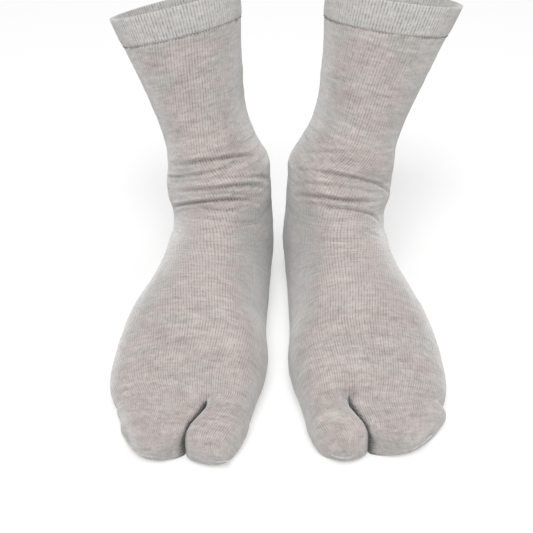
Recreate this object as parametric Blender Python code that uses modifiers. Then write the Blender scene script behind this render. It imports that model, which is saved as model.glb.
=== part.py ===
"""A pair of knitted tabi socks, filled out as on a pair of feet and standing on their soles.

Each sock is a thin wall lofted through sections: rings square to the leg, a fan of
rings round the ankle and heel, upright rings along the foot, and two closed toe pockets that
part at the cleft. A ribbed cuff is knitted on above it. Metres, +Z up, toes towards -Y.
"""
import math
from collections import namedtuple

import bmesh
import bpy
import numpy as np

# --- driving dimensions -----------------------------------------------------------------
WALL = 0.0012              # one layer of fine knit
CUFF_WALL = 0.0016         # cuff, knitted double, measured in the grooves of its ribs
SEAM_GAP = 0.0004          # left between the cuff and the leg below it
CUFF_HEIGHT = 0.0190
RIB_COUNT = 132            # ribs round one cuff
RIB_RELIEF = 0.0005
ANKLE_Y, ANKLE_Z = -0.033, 0.080   # ankle centre in a foot's own frame: behind and above
SOLE_PRESS = 0.0020        # how far the sole is pressed flat by the floor
BALL_POINTS = 12           # ring points round the big toe's side
TOES_POINTS = 20           # ring points round the side of the other toes
CLEFT_POINTS = 3           # points down the wall between two toe pockets
FRONT_POINT = 1            # ring point nearest the middle of the front
BACK_POINT = 16            # ring point nearest the middle of the back
BIG_TOE_SHARE = 0.362      # share of each ring that runs on into the big toe's pocket
BIG_TOE_CLEFT = 0.26       # share of a big toe ring that is the cleft's wall
OTHER_TOES_CLEFT = 0.18    # share of an other toes ring that is the cleft's wall
CLEFT_SQUARENESS = 1.0     # how much squarer a toe's section is at the cleft
CURVE_SAMPLES = 24         # samples in each quarter of a section
KNIT_GREY = (0.50, 0.47, 0.45, 1.0)
CUFF_GREY = (0.57, 0.56, 0.54, 1.0)

# Rings square to the leg, from the cuff's seam down. rise is measured up the leg from the
# ankle, and the other sizes are half widths and half depths.
LegRing = namedtuple("LegRing", "rise medial lateral front back spans")
LEG_RINGS = (
    LegRing(0.1160, 0.0412, 0.0386, 0.0425, 0.0440, 2),
    LegRing(0.0960, 0.0360, 0.0352, 0.0393, 0.0408, 2),
    LegRing(0.0780, 0.0322, 0.0322, 0.0367, 0.0380, 2),
    LegRing(0.0600, 0.0286, 0.0299, 0.0355, 0.0366, 4),
    LegRing(0.0460, 0.0284, 0.0295, 0.0362, 0.0368, 6),
    LegRing(0.0330, 0.0308, 0.0320, 0.0380, 0.0378, 6),
)
CUFF_TOP = LegRing(0.1350, 0.0450, 0.0420, 0.0450, 0.0468, 1)

# Rings of the ankle, heel and foot. front is the shin or instep end of a ring and back
# its heel or sole end, in a foot's own frame, and belly is the height of its widest place as a
# share of the way from back to front. crest is how far the front end lies from the centre.
FootRing = namedtuple(
    "FootRing",
    "front_y front_z back_y back_z medial lateral crest belly tilt front_round back_round spans",
)
FOOT_RINGS = (
    FootRing(-0.0670, 0.1085, 0.0105, 0.0885, 0.0316, 0.0382, 0.000, 0.50, 0.009, 2.1, 2.1, 4),
    FootRing(-0.0725, 0.0995, 0.0115, 0.0745, 0.0328, 0.0368, 0.000, 0.50, 0.008, 2.1, 2.1, 3),
    FootRing(-0.0775, 0.0930, 0.0155, 0.0580, 0.0333, 0.0338, -0.001, 0.50, 0.006, 2.1, 2.2, 3),
    FootRing(-0.0820, 0.0885, 0.0218, 0.0400, 0.0330, 0.0334, -0.001, 0.48, 0.005, 2.1, 2.3, 2),
    FootRing(-0.0870, 0.0848, 0.0252, 0.0215, 0.0333, 0.0350, -0.002, 0.44, 0.004, 2.1, 2.4, 2),
    FootRing(-0.0915, 0.0821, 0.0215, 0.0060, 0.0337, 0.0373, -0.002, 0.41, 0.003, 2.1, 2.6, 1),
    FootRing(-0.0950, 0.0800, 0.0110, 0.0000, 0.0339, 0.0386, -0.002, 0.39, 0.003, 2.1, 2.7, 1),
    FootRing(-0.1000, 0.0770, -0.0120, 0.0000, 0.0348, 0.0402, -0.003, 0.34, 0.002, 2.1, 2.9, 2),
    FootRing(-0.1090, 0.0718, -0.0520, 0.0000, 0.0373, 0.0446, -0.004, 0.30, 0.001, 2.1, 3.0, 2),
    FootRing(-0.1215, 0.0648, -0.0920, 0.0000, 0.0413, 0.0500, -0.005, 0.30, 0.000, 2.1, 3.0, 2),
    FootRing(-0.1380, 0.0550, -0.1220, 0.0000, 0.0466, 0.0521, -0.006, 0.32, 0.001, 2.2, 3.0, 2),
    FootRing(-0.1520, 0.0468, -0.1430, 0.0000, 0.0472, 0.0518, -0.008, 0.36, 0.002, 2.2, 3.0, 1),
    FootRing(-0.1650, 0.0398, -0.1610, 0.0000, 0.0453, 0.0502, -0.010, 0.38, 0.003, 2.3, 3.0, 1),
    FootRing(-0.1745, 0.0350, -0.1720, 0.0000, 0.0441, 0.0474, -0.012, 0.40, 0.003, 2.4, 3.0, 1),
    FootRing(-0.1810, 0.0318, -0.1800, 0.0000, 0.0434, 0.0445, -0.013, 0.42, 0.003, 2.5, 3.0, 1),
)

# Rings of the two toe pockets. near is the side at the cleft and far the other side, and bow
# is how far the middle of a ring leads its two sides.
ToeRing = namedtuple("ToeRing", "near_x near_y far_x far_y near_top far_top bottom bow round")
BIG_TOE_RINGS = {
    "right": (
        ToeRing(-0.0172, -0.1870, -0.0437, -0.1860, 0.0300, 0.0290, 0.0000, 0.0010, 2.4),
        ToeRing(-0.0142, -0.1935, -0.0426, -0.1925, 0.0280, 0.0264, 0.0000, 0.0012, 2.4),
        ToeRing(-0.0098, -0.2000, -0.0411, -0.1992, 0.0250, 0.0240, 0.0000, 0.0015, 2.4),
        ToeRing(-0.0083, -0.2052, -0.0385, -0.2050, 0.0215, 0.0208, 0.0000, 0.0020, 2.4),
        ToeRing(-0.0094, -0.2090, -0.0368, -0.2092, 0.0172, 0.0166, 0.0010, 0.0024, 2.3),
        ToeRing(-0.0124, -0.2117, -0.0359, -0.2123, 0.0128, 0.0124, 0.0040, 0.0026, 2.3),
        ToeRing(-0.0144, -0.2124, -0.0358, -0.2130, 0.0098, 0.0094, 0.0066, 0.0026, 2.0),
    ),
    "left": (
        ToeRing(-0.0172, -0.1860, -0.0437, -0.1855, 0.0300, 0.0290, 0.0000, 0.0010, 2.4),
        ToeRing(-0.0142, -0.1925, -0.0427, -0.1920, 0.0280, 0.0264, 0.0000, 0.0012, 2.4),
        ToeRing(-0.0102, -0.1980, -0.0413, -0.1974, 0.0248, 0.0240, 0.0000, 0.0015, 2.4),
        ToeRing(-0.0088, -0.2022, -0.0392, -0.2014, 0.0213, 0.0206, 0.0000, 0.0022, 2.4),
        ToeRing(-0.0098, -0.2058, -0.0362, -0.2048, 0.0170, 0.0164, 0.0010, 0.0030, 2.3),
        ToeRing(-0.0126, -0.2084, -0.0333, -0.2076, 0.0126, 0.0122, 0.0040, 0.0036, 2.2),
        ToeRing(-0.0146, -0.2091, -0.0322, -0.2080, 0.0096, 0.0092, 0.0066, 0.0038, 2.0),
    ),
}
OTHER_TOES_RINGS = {
    "right": (
        ToeRing(-0.0160, -0.1868, 0.0400, -0.1835, 0.0298, 0.0222, 0.0000, 0.0010, 2.4),
        ToeRing(-0.0129, -0.1935, 0.0373, -0.1880, 0.0276, 0.0206, 0.0000, 0.0028, 2.4),
        ToeRing(-0.0083, -0.2000, 0.0355, -0.1923, 0.0242, 0.0192, 0.0000, 0.0046, 2.4),
        ToeRing(-0.0068, -0.2050, 0.0344, -0.1962, 0.0212, 0.0172, 0.0000, 0.0060, 2.4),
        ToeRing(-0.0069, -0.2079, 0.0322, -0.1992, 0.0168, 0.0140, 0.0010, 0.0084, 2.3),
        ToeRing(-0.0056, -0.2104, 0.0302, -0.2015, 0.0124, 0.0106, 0.0038, 0.0094, 2.2),
        ToeRing(-0.0040, -0.2108, 0.0294, -0.2021, 0.0096, 0.0086, 0.0062, 0.0097, 2.0),
    ),
    "left": (
        ToeRing(-0.0160, -0.1858, 0.0444, -0.1838, 0.0298, 0.0222, 0.0000, 0.0010, 2.4),
        ToeRing(-0.0131, -0.1928, 0.0432, -0.1874, 0.0276, 0.0208, 0.0000, 0.0024, 2.4),
        ToeRing(-0.0090, -0.1986, 0.0404, -0.1908, 0.0242, 0.0194, 0.0000, 0.0038, 2.4),
        ToeRing(-0.0074, -0.2030, 0.0374, -0.1938, 0.0212, 0.0174, 0.0000, 0.0048, 2.4),
        ToeRing(-0.0071, -0.2051, 0.0345, -0.1964, 0.0168, 0.0142, 0.0010, 0.0061, 2.3),
        ToeRing(-0.0058, -0.2072, 0.0322, -0.1984, 0.0124, 0.0106, 0.0038, 0.0067, 2.2),
        ToeRing(-0.0042, -0.2076, 0.0313, -0.1989, 0.0096, 0.0086, 0.0062, 0.0068, 2.0),
    ),
}
CLEFT_LEAD = 0.0020        # how far the middle of the cleft's wall leads its top and bottom

# Where each sock stands and how its leg leans. side is -1 for the right foot, toe_out and
# the leans are in degrees, leg_x is where the leg's axis crosses the ankle, cuff_roll lifts the
# outer side of the cuff, stretch and girth are the leg's height and width as shares of the
# table's, cleft_reach is how far the cleft's root lies ahead of the last foot ring, and spread
# widens that ring on its outer side.
Sock = namedtuple(
    "Sock", "name side heel_x heel_y toe_out back_lean side_lean leg_x"
            " cuff_roll stretch girth cleft_reach spread")
SOCKS = (
    Sock("right", -1, 0.0330, 0.1, 8.7, 14.7, 17.6, -0.0035, 1.4, 1.000, 0.985, 0.0026, -0.0042),
    Sock("left", 1, 0.0367, 0.1, 7.4, 14.7, 19.0, -0.0026, 9.0, 1.045, 1.000, -0.0026, -0.0014),
)
PAIR_CENTRE = (0.0056, 0.0176)     # middle of the pair's plan, brought to the origin

# Creases across the front and back of the ankle. run is measured down the wall's own front
# line (or back line) from the cuff seam, around is the distance round from that line, both to
# the crease's middle.
Crease = namedtuple("Crease", "place run around half_length slope bend depth width")
CREASES = {
    "right": (
        Crease("front", 0.0822, -0.0043, 0.026, -0.143, 0.0026, 0.0014, 0.0026),
        Crease("front", 0.0898, 0.0167, 0.032, 0.061, 0.0018, 0.0009, 0.0024),
        Crease("front", 0.1013, -0.0249, 0.022, -0.297, 0.0005, 0.0006, 0.0024),
        Crease("front", 0.1011, 0.0002, 0.032, -0.113, 0.0043, 0.0013, 0.0024),
        Crease("front", 0.1096, -0.0148, 0.013, -0.326, 0.0000, 0.0008, 0.0022),
        Crease("front", 0.1090, 0.0098, 0.033, -0.011, 0.0056, 0.0018, 0.0024),
        Crease("front", 0.1153, 0.0044, 0.015, -0.231, 0.0002, 0.0009, 0.0023),
        Crease("front", 0.1251, -0.0076, 0.021, -0.193, -0.0014, 0.0006, 0.0027),
        Crease("back", 0.0720, 0.0060, 0.027, 0.060, -0.0030, 0.0009, 0.0040),
        Crease("back", 0.0860, -0.0070, 0.022, -0.050, 0.0020, 0.0012, 0.0042),
        Crease("back", 0.1010, 0.0040, 0.029, 0.030, -0.0025, 0.0010, 0.0042),
    ),
    "left": (
        Crease("front", 0.0872, -0.0216, 0.015, -0.383, 0.0001, 0.0006, 0.0027),
        Crease("front", 0.0972, 0.0114, 0.038, 0.091, 0.0087, 0.0014, 0.0026),
        Crease("front", 0.1052, -0.0026, 0.024, -0.120, 0.0026, 0.0009, 0.0024),
        Crease("front", 0.1134, -0.0003, 0.028, -0.098, 0.0019, 0.0018, 0.0024),
        Crease("front", 0.1196, 0.0168, 0.024, 0.159, 0.0047, 0.0012, 0.0024),
        Crease("front", 0.1358, 0.0298, 0.011, 0.289, -0.0004, 0.0007, 0.0025),
        Crease("back", 0.0750, -0.0050, 0.025, -0.050, -0.0025, 0.0010, 0.0041),
        Crease("back", 0.0900, 0.0080, 0.029, 0.040, 0.0020, 0.0011, 0.0042),
        Crease("back", 0.1060, -0.0020, 0.021, -0.030, -0.0020, 0.0008, 0.0042),
    ),
}
RIDGE_SHARE = 0.45         # height of the ridge beside a crease, as a share of its depth


def unit(vector):
    """The vector at length 1."""
    return vector / np.linalg.norm(vector)


def hermite(places, rows, at):
    """Rows of numbers at their places along a line, interpolated smoothly at one place."""
    slopes = np.gradient(rows, places, axis=0)
    k = min(max(int(np.searchsorted(places, at, side="right")) - 1, 0), len(places) - 2)
    step = places[k + 1] - places[k]
    t = (at - places[k]) / step
    return (
        (2 * t**3 - 3 * t**2 + 1) * rows[k]
        + (t**3 - 2 * t**2 + t) * step * slopes[k]
        + (3 * t**2 - 2 * t**3) * rows[k + 1]
        + (t**3 - t**2) * step * slopes[k + 1]
    )


def leg_frame(sock):
    """Unit vectors up the leg, to its front and to its outer side, in the foot's own frame."""
    up = unit(np.array([
        math.tan(math.radians(sock.side_lean)), math.tan(math.radians(sock.back_lean)), 1.0]))
    forward = np.array([0.0, -1.0, 0.0])
    front = unit(forward - forward.dot(up) * up)
    return up, front, np.cross(up, front)


def leg_section(sock, ring):
    """A leg ring's five guide points, two roundings and crest, as one row of numbers."""
    up, front, outer = leg_frame(sock)
    centre = np.array([sock.leg_x, ANKLE_Y, ANKLE_Z]) + up * ring.rise * sock.stretch
    share = (ring.rise - LEG_RINGS[3].rise) / (LEG_RINGS[0].rise - LEG_RINGS[3].rise)
    share = min(max(share, 0.0), 1.0)
    roll = up * math.tan(math.radians(sock.cuff_roll)) * share
    return np.concatenate([
        centre,
        centre + front * ring.front,
        centre - front * ring.back,
        centre - (outer + roll) * ring.medial * sock.girth,
        centre + (outer + roll) * ring.lateral * sock.girth,
        (2.1, 2.1, 0.0),
    ])


def foot_section(ring):
    """A foot ring's five guide points, two roundings and crest, as one row of numbers."""
    sunk = ring.back_z - (SOLE_PRESS if ring.back_z == 0 else 0.0)
    front = np.array([0.0, ring.front_y, ring.front_z])
    back = np.array([0.0, ring.back_y, sunk])
    centre = back + (front - back) * ring.belly
    lift = np.array([0.0, 0.0, ring.tilt])
    side = np.array([1.0, 0.0, 0.0])
    return np.concatenate([
        centre, front, back,
        centre - side * ring.medial + lift,
        centre + side * ring.lateral - lift,
        (ring.front_round, ring.back_round, ring.crest),
    ])


def toe_section(ring, flat_press):
    """A toe ring's points, densely, from its top round the far side and back by the cleft."""
    near = np.array([ring.near_x, ring.near_y])
    far = np.array([ring.far_x, ring.far_y])
    ahead = np.array([0.0, -1.0])
    points = []
    for k in range(4 * CURVE_SAMPLES):
        angle = k * math.pi / (2 * CURVE_SAMPLES)
        squareness = ring.round + (CLEFT_SQUARENESS if math.sin(angle) < 0 else 0.0)
        across = math.copysign(abs(math.sin(angle)) ** (2 / squareness), math.sin(angle))
        height = math.copysign(abs(math.cos(angle)) ** (2 / squareness), math.cos(angle))
        share = (across + 1) / 2
        top = ring.near_top + (ring.far_top - ring.near_top) * share
        low = ring.bottom - (flat_press if ring.bottom == 0 else 0.0)
        belly = low + (top - low) * 0.45
        z = belly + (top - belly if height > 0 else belly - low) * height
        plan = near + (far - near) * share + ahead * ring.bow * (1 - across**2)
        points.append((plan[0], plan[1], z))
    return np.array(points)


def section_curve(row):
    """A section's closed curve, densely: front, outer side, back, inner side."""
    centre, front, back, medial, lateral = row[:15].reshape(5, 3)
    points = []
    for k in range(4 * CURVE_SAMPLES):
        angle = k * math.pi / (2 * CURVE_SAMPLES)
        c, s = math.cos(angle), math.sin(angle)
        power = 2 / (row[15] if c > 0 else row[16])
        end = front if c > 0 else back
        side = lateral if s > 0 else medial
        point = centre + (end - centre) * abs(c) ** power + (side - centre) * abs(s) ** power
        points.append(point + np.array([row[17] * c * c, 0.0, 0.0]))
    return np.array(points)


def points_along(curve, start, length, count):
    """count points spread evenly over a length of a closed curve, from a start distance on."""
    closed = np.vstack([curve, curve[:1]])
    steps = np.linalg.norm(np.diff(closed, axis=0), axis=1)
    run = np.concatenate([[0.0], np.cumsum(steps)])
    wanted = (start + np.linspace(0.0, length, count)) % run[-1]
    return np.stack([np.interp(wanted, run, closed[:, axis]) for axis in range(3)], axis=1)


def run_to(curve, sample):
    """The length of a closed curve from its first point to one of its samples."""
    closed = np.vstack([curve, curve[:1]])[:sample + 1]
    return np.linalg.norm(np.diff(closed, axis=0), axis=1).sum()


def perimeter(curve):
    """A closed curve's length, and the length from its first point to its halfway sample."""
    return run_to(curve, 4 * CURVE_SAMPLES), run_to(curve, 2 * CURVE_SAMPLES)


def tube_ring(row):
    """A section's ring: from the cleft line round the outer side, then on round the inner."""
    curve = section_curve(row)
    whole, outer_half = perimeter(curve)
    big = whole * BIG_TOE_SHARE
    spare = (whole - outer_half - big) / 2
    outer = points_along(curve, -spare, whole - big, TOES_POINTS + 1)
    inner = points_along(curve, outer_half + spare, big, BALL_POINTS + 1)
    return np.vstack([outer[:-1], inner[:-1]])


def toe_rings(rings, points, share_of_side):
    """Rings of one toe pocket: points round its far side, then up the wall at the cleft."""
    made = []
    for ring in rings:
        curve = toe_section(ring, SOLE_PRESS)
        whole, _ = perimeter(curve)
        cleft = share_of_side * whole
        turn = whole - cleft
        start = run_to(curve, 3 * CURVE_SAMPLES) + cleft / 2
        far = points_along(curve, start, turn, points + 1)
        wall = points_along(curve, start + turn, cleft, CLEFT_POINTS + 2)
        made.append(np.vstack([far, wall[1:-1]]))
    return made


def tube_rows(sock):
    """All section rows from the cuff seam to the toes' split, with their places and spans."""
    rows = [leg_section(sock, ring) for ring in LEG_RINGS]
    rows += [foot_section(ring) for ring in FOOT_RINGS]
    rows = np.array(rows)
    rows[-2:, 12] += np.array([0.4, 1.0]) * sock.spread
    steps = np.linalg.norm(np.diff(rows[:, 3:6], axis=0), axis=1)
    steps += np.linalg.norm(np.diff(rows[:, 6:9], axis=0), axis=1)
    places = np.concatenate([[0.0], np.cumsum(steps / 2)])
    spans = [ring.spans for ring in LEG_RINGS + FOOT_RINGS[:-1]]
    return rows, places, spans


def tube_rings(sock):
    """Rings from the cuff seam to the split, each with its section row."""
    rows, places, spans = tube_rows(sock)
    at = [places[k] + (places[k + 1] - places[k]) * j / n
          for k, n in enumerate(spans) for j in range(n)] + [places[-1]]
    return np.array([tube_ring(hermite(places, rows, place)) for place in at])


def crease_depth(creases, run, around):
    """How far creases draw the wall in at places on a ring, less their ridges."""
    depth = np.zeros_like(around)
    for crease in creases:
        along = (around - crease.around) / crease.half_length
        middle = crease.run + crease.slope * (around - crease.around) + crease.bend * along**2
        across = (run - middle) / crease.width
        ridges = np.exp(-((across - 1.8) ** 2)) + np.exp(-((across + 1.8) ** 2))
        depth += crease.depth * np.exp(-(along**4)) * (np.exp(-(across**2)) - RIDGE_SHARE * ridges)
    return depth


def creased(rings, creases):
    """The rings with their creases: places are measured from the front line and the back line."""
    down = np.gradient(rings, axis=0)
    along = np.roll(rings, -1, axis=1) - np.roll(rings, 1, axis=1)
    inward = np.cross(down, along)
    inward /= np.linalg.norm(inward, axis=2)[:, :, None]
    towards = rings.mean(axis=1)[:, None, :] - rings
    inward *= np.sign((inward * towards).sum(axis=2).mean())
    moved = rings.copy()
    for place, column in (("front", FRONT_POINT), ("back", BACK_POINT)):
        chosen = [crease for crease in creases if crease.place == place]
        line = np.linalg.norm(np.diff(rings[:, column], axis=0), axis=1)
        runs = np.concatenate([[0.0], np.cumsum(line)])
        for k, ring in enumerate(rings):
            steps = np.linalg.norm(ring - np.roll(ring, 1, axis=0), axis=1)
            around = np.cumsum(steps)
            whole = around[-1]
            around = (around - around[column] + whole / 2) % whole - whole / 2
            moved[k] += inward[k] * crease_depth(chosen, runs[k], around)[:, None]
    return moved


def build_wall(sock):
    """The sock's outer surface as a bmesh in the foot's own frame."""
    rings = creased(tube_rings(sock), CREASES[sock.name])
    lead = np.exp(-((rings[-1][:, 0] - rings[-1][0, 0]) / 0.012) ** 2)
    rings[-1][:, 1] -= sock.cleft_reach * lead
    mesh = bmesh.new()
    loops = [[mesh.verts.new(p) for p in ring] for ring in rings]
    for upper, lower in zip(loops, loops[1:]):
        join_rings(mesh, upper, lower)
    outer, inner = loops[-1][:TOES_POINTS + 1], loops[-1][TOES_POINTS:] + loops[-1][:1]
    cleft = cleft_points(mesh, outer[0].co, outer[-1].co)
    others = toe_rings(OTHER_TOES_RINGS[sock.name], TOES_POINTS, OTHER_TOES_CLEFT)
    pocket(mesh, outer + cleft[::-1], others, TOES_POINTS)
    pocket(mesh, inner + cleft, big_toe_rings(sock), BALL_POINTS)
    return mesh


def big_toe_rings(sock):
    """The big toe's rings, turned so that they start at the sole's end of the cleft."""
    turned = []
    for ring in toe_rings(BIG_TOE_RINGS[sock.name], BALL_POINTS, BIG_TOE_CLEFT):
        far, wall = ring[:BALL_POINTS + 1], ring[BALL_POINTS + 1:]
        turned.append(np.vstack([far[::-1], wall[::-1]]))
    return turned


def cleft_points(mesh, top, bottom):
    """Vertices down the cleft's root, from its top to its bottom, leading in the middle."""
    made = []
    for k in range(1, CLEFT_POINTS + 1):
        share = k / (CLEFT_POINTS + 1)
        place = top.lerp(bottom, share)
        place.y -= CLEFT_LEAD * math.sin(math.pi * share)
        made.append(mesh.verts.new(place))
    return made


def join_rings(mesh, upper, lower):
    """Quads between two rings of vertices."""
    count = len(upper)
    for k in range(count):
        n = (k + 1) % count
        mesh.faces.new((upper[k], upper[n], lower[n], lower[k]))


def pocket(mesh, root, rings, points):
    """A toe pocket's wall, closed along the seam across its end."""
    loop = root
    for ring in rings:
        nxt = [mesh.verts.new(p) for p in ring]
        join_rings(mesh, loop, nxt)
        loop = nxt
    count = len(loop)
    near = points + (CLEFT_POINTS + 1) // 2
    for k in range(count // 2):
        a, b = loop[(near + k) % count], loop[(near + k + 1) % count]
        c, d = loop[(near - k - 1) % count], loop[(near - k) % count]
        corners = list(dict.fromkeys((a, b, c, d)))
        mesh.faces.new(corners)


def finish_mesh(mesh, sock):
    """Presses the sole flat, stands the sock in its place and puts its faces out."""
    turn = math.radians(sock.toe_out)
    for vert in mesh.verts:
        x, y, z = vert.co
        plan_x = sock.heel_x + x * math.cos(turn) - y * math.sin(turn)
        plan_y = sock.heel_y + x * math.sin(turn) + y * math.cos(turn)
        vert.co = (sock.side * plan_x - PAIR_CENTRE[0], plan_y - PAIR_CENTRE[1], max(z, 0.0))
    bmesh.ops.recalc_face_normals(mesh, faces=mesh.faces)


def material(name, colour, roughness):
    """A plain fabric material."""
    made = bpy.data.materials.new(name)
    made.use_nodes = True
    shader = made.node_tree.nodes["Principled BSDF"]
    shader.inputs["Base Color"].default_value = colour
    shader.inputs["Roughness"].default_value = roughness
    shader.inputs["Metallic"].default_value = 0.0
    return made


def add_object(name, mesh, collection, look):
    """A named object made from a bmesh, smooth shaded."""
    data = bpy.data.meshes.new(name)
    mesh.to_mesh(data)
    mesh.free()
    data.materials.append(look)
    data.shade_smooth()
    made = bpy.data.objects.new(name, data)
    collection.objects.link(made)
    return made


def make_sock(sock, collection, look):
    """One sock's leg, heel, foot and toe pockets in a single knitted wall."""
    mesh = build_wall(sock)
    finish_mesh(mesh, sock)
    made = add_object(f"sock_{sock.name}", mesh, collection, look)
    wall = made.modifiers.new("wall", "SOLIDIFY")
    wall.thickness = WALL
    wall.offset = -1.0
    wall.use_even_offset = True
    return made


def cuff_loop(sock, place, offset, relief, count):
    """A ring of the cuff between its seam (place 0) and top (place 1), ribbed or plain."""
    seam, top = leg_section(sock, LEG_RINGS[0]), leg_section(sock, CUFF_TOP)
    row = seam + (top - seam) * place / CUFF_HEIGHT
    centre = row[:3]
    curve = section_curve(row)
    ring = points_along(curve, 0.0, perimeter(curve)[0], count + 1)[:-1]
    outward = ring - centre
    outward /= np.linalg.norm(outward, axis=1)[:, None]
    raised = np.where(np.arange(count) % 2 == 0, relief, 0.0)
    return ring + outward * (offset + raised)[:, None]


def make_cuff(sock, collection, look):
    """The ribbed cuff above one sock's leg: ribs outside over a plain inside."""
    mesh = bmesh.new()
    points = 2 * RIB_COUNT
    coarse = RIB_COUNT // 2
    low, high = SEAM_GAP, CUFF_HEIGHT
    outer = [cuff_loop(sock, p, 0.0, RIB_RELIEF, points) for p in (low, high)]
    inner = [cuff_loop(sock, p, -CUFF_WALL, 0.0, coarse) for p in (high, low)]
    outer = [[mesh.verts.new(p) for p in ring] for ring in outer]
    inner = [[mesh.verts.new(p) for p in ring] for ring in inner]
    join_rings(mesh, *outer)
    join_rings(mesh, *inner)
    rim(mesh, outer[1], inner[0])
    rim(mesh, outer[0], inner[1])
    finish_mesh(mesh, sock)
    return add_object(f"cuff_{sock.name}", mesh, collection, look)


def rim(mesh, fine, coarse):
    """Faces between a fine ring and a coarse one, each coarse point serving several fine."""
    ratio = len(fine) // len(coarse)
    for k, point in enumerate(coarse):
        after = coarse[(k + 1) % len(coarse)]
        for j in range(ratio):
            a = fine[(k * ratio + j) % len(fine)]
            b = fine[(k * ratio + j + 1) % len(fine)]
            mesh.faces.new((a, b, point) if j < ratio // 2 else (a, b, after))
        middle = fine[(k * ratio + ratio // 2) % len(fine)]
        mesh.faces.new((middle, after, point))


def main():
    """Clears the scene and builds both socks with their cuffs."""
    for old in list(bpy.data.objects):
        bpy.data.objects.remove(old)
    collection = bpy.data.collections.new("tabi_socks")
    bpy.context.scene.collection.children.link(collection)
    knit = material("heather_knit", KNIT_GREY, 0.95)
    rib = material("cuff_rib", CUFF_GREY, 0.95)
    for sock in SOCKS:
        make_sock(sock, collection, knit)
        make_cuff(sock, collection, rib)


main()
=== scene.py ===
"""The looks of a pair of knitted tabi socks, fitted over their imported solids.

Each sock is a thin knitted shell with its creases, a ribbed cuff, the row of stitches that joins
the two, and a linked seam across the end of each toe pocket. Metres, +Z up, toes towards -Y.
"""
import logging
import math
from dataclasses import dataclass, field
from enum import Enum

import bmesh
import bpy
import numpy as np
from mathutils import Matrix, Vector, noise


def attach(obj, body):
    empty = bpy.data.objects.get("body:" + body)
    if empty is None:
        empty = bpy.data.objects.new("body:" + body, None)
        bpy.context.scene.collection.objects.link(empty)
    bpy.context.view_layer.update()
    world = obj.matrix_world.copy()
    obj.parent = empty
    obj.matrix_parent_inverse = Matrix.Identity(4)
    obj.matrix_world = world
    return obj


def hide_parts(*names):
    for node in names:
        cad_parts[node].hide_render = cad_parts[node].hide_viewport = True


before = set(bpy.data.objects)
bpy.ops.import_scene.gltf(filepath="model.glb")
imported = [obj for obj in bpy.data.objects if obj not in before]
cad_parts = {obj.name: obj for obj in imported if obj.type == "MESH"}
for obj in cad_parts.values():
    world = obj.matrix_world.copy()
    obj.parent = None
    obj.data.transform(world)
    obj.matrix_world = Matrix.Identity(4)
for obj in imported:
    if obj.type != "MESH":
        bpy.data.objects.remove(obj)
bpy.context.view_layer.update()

LOG = logging.getLogger("tabi_socks")
WALES = 140                # columns of stitches round one sock
COURSE = 0.0011            # height of one course of stitches
RIBS = 132                 # ribs round one cuff
Colour = tuple[float, float, float]
Feed = bpy.types.NodeSocket | float | tuple    # what an input of a node is given
Sockets = bpy.types.bpy_prop_collection


class Side(Enum):
    """Which foot a sock is for, and which way its outer side points."""

    RIGHT = -1
    LEFT = 1


class Place(Enum):
    """The line of a sock that a crease is measured from."""

    FRONT = "front"
    BACK = "back"


# --- sizes ------------------------------------------------------------------------------


@dataclass(frozen=True)
class LegRing:
    """A section square to the leg: its height above the ankle and its four half widths."""

    rise: float
    medial: float
    lateral: float
    front: float
    back: float


@dataclass(frozen=True)
class FootRing:
    """A section of the ankle, heel or foot between its instep end and its sole end."""

    front_y: float
    front_z: float
    back_y: float
    back_z: float
    medial: float
    lateral: float
    crest: float
    belly: float
    tilt: float
    front_round: float
    back_round: float


@dataclass(frozen=True)
class ToeRing:
    """A section of a toe pocket between its side at the cleft and its far side."""

    near_x: float
    near_y: float
    far_x: float
    far_y: float
    near_top: float
    far_top: float
    bottom: float
    bow: float
    squareness: float


@dataclass(frozen=True)
class Crease:
    """A soft trough across a sock: where its middle lies, its length, run, depth and width."""

    place: Place
    run: float
    around: float
    half_length: float
    slope: float
    bend: float
    depth: float
    width: float


def table(kind: type, rows: tuple) -> tuple:
    """Rows of numbers as rings or creases of one kind."""
    return tuple(kind(*row) for row in rows)


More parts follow.
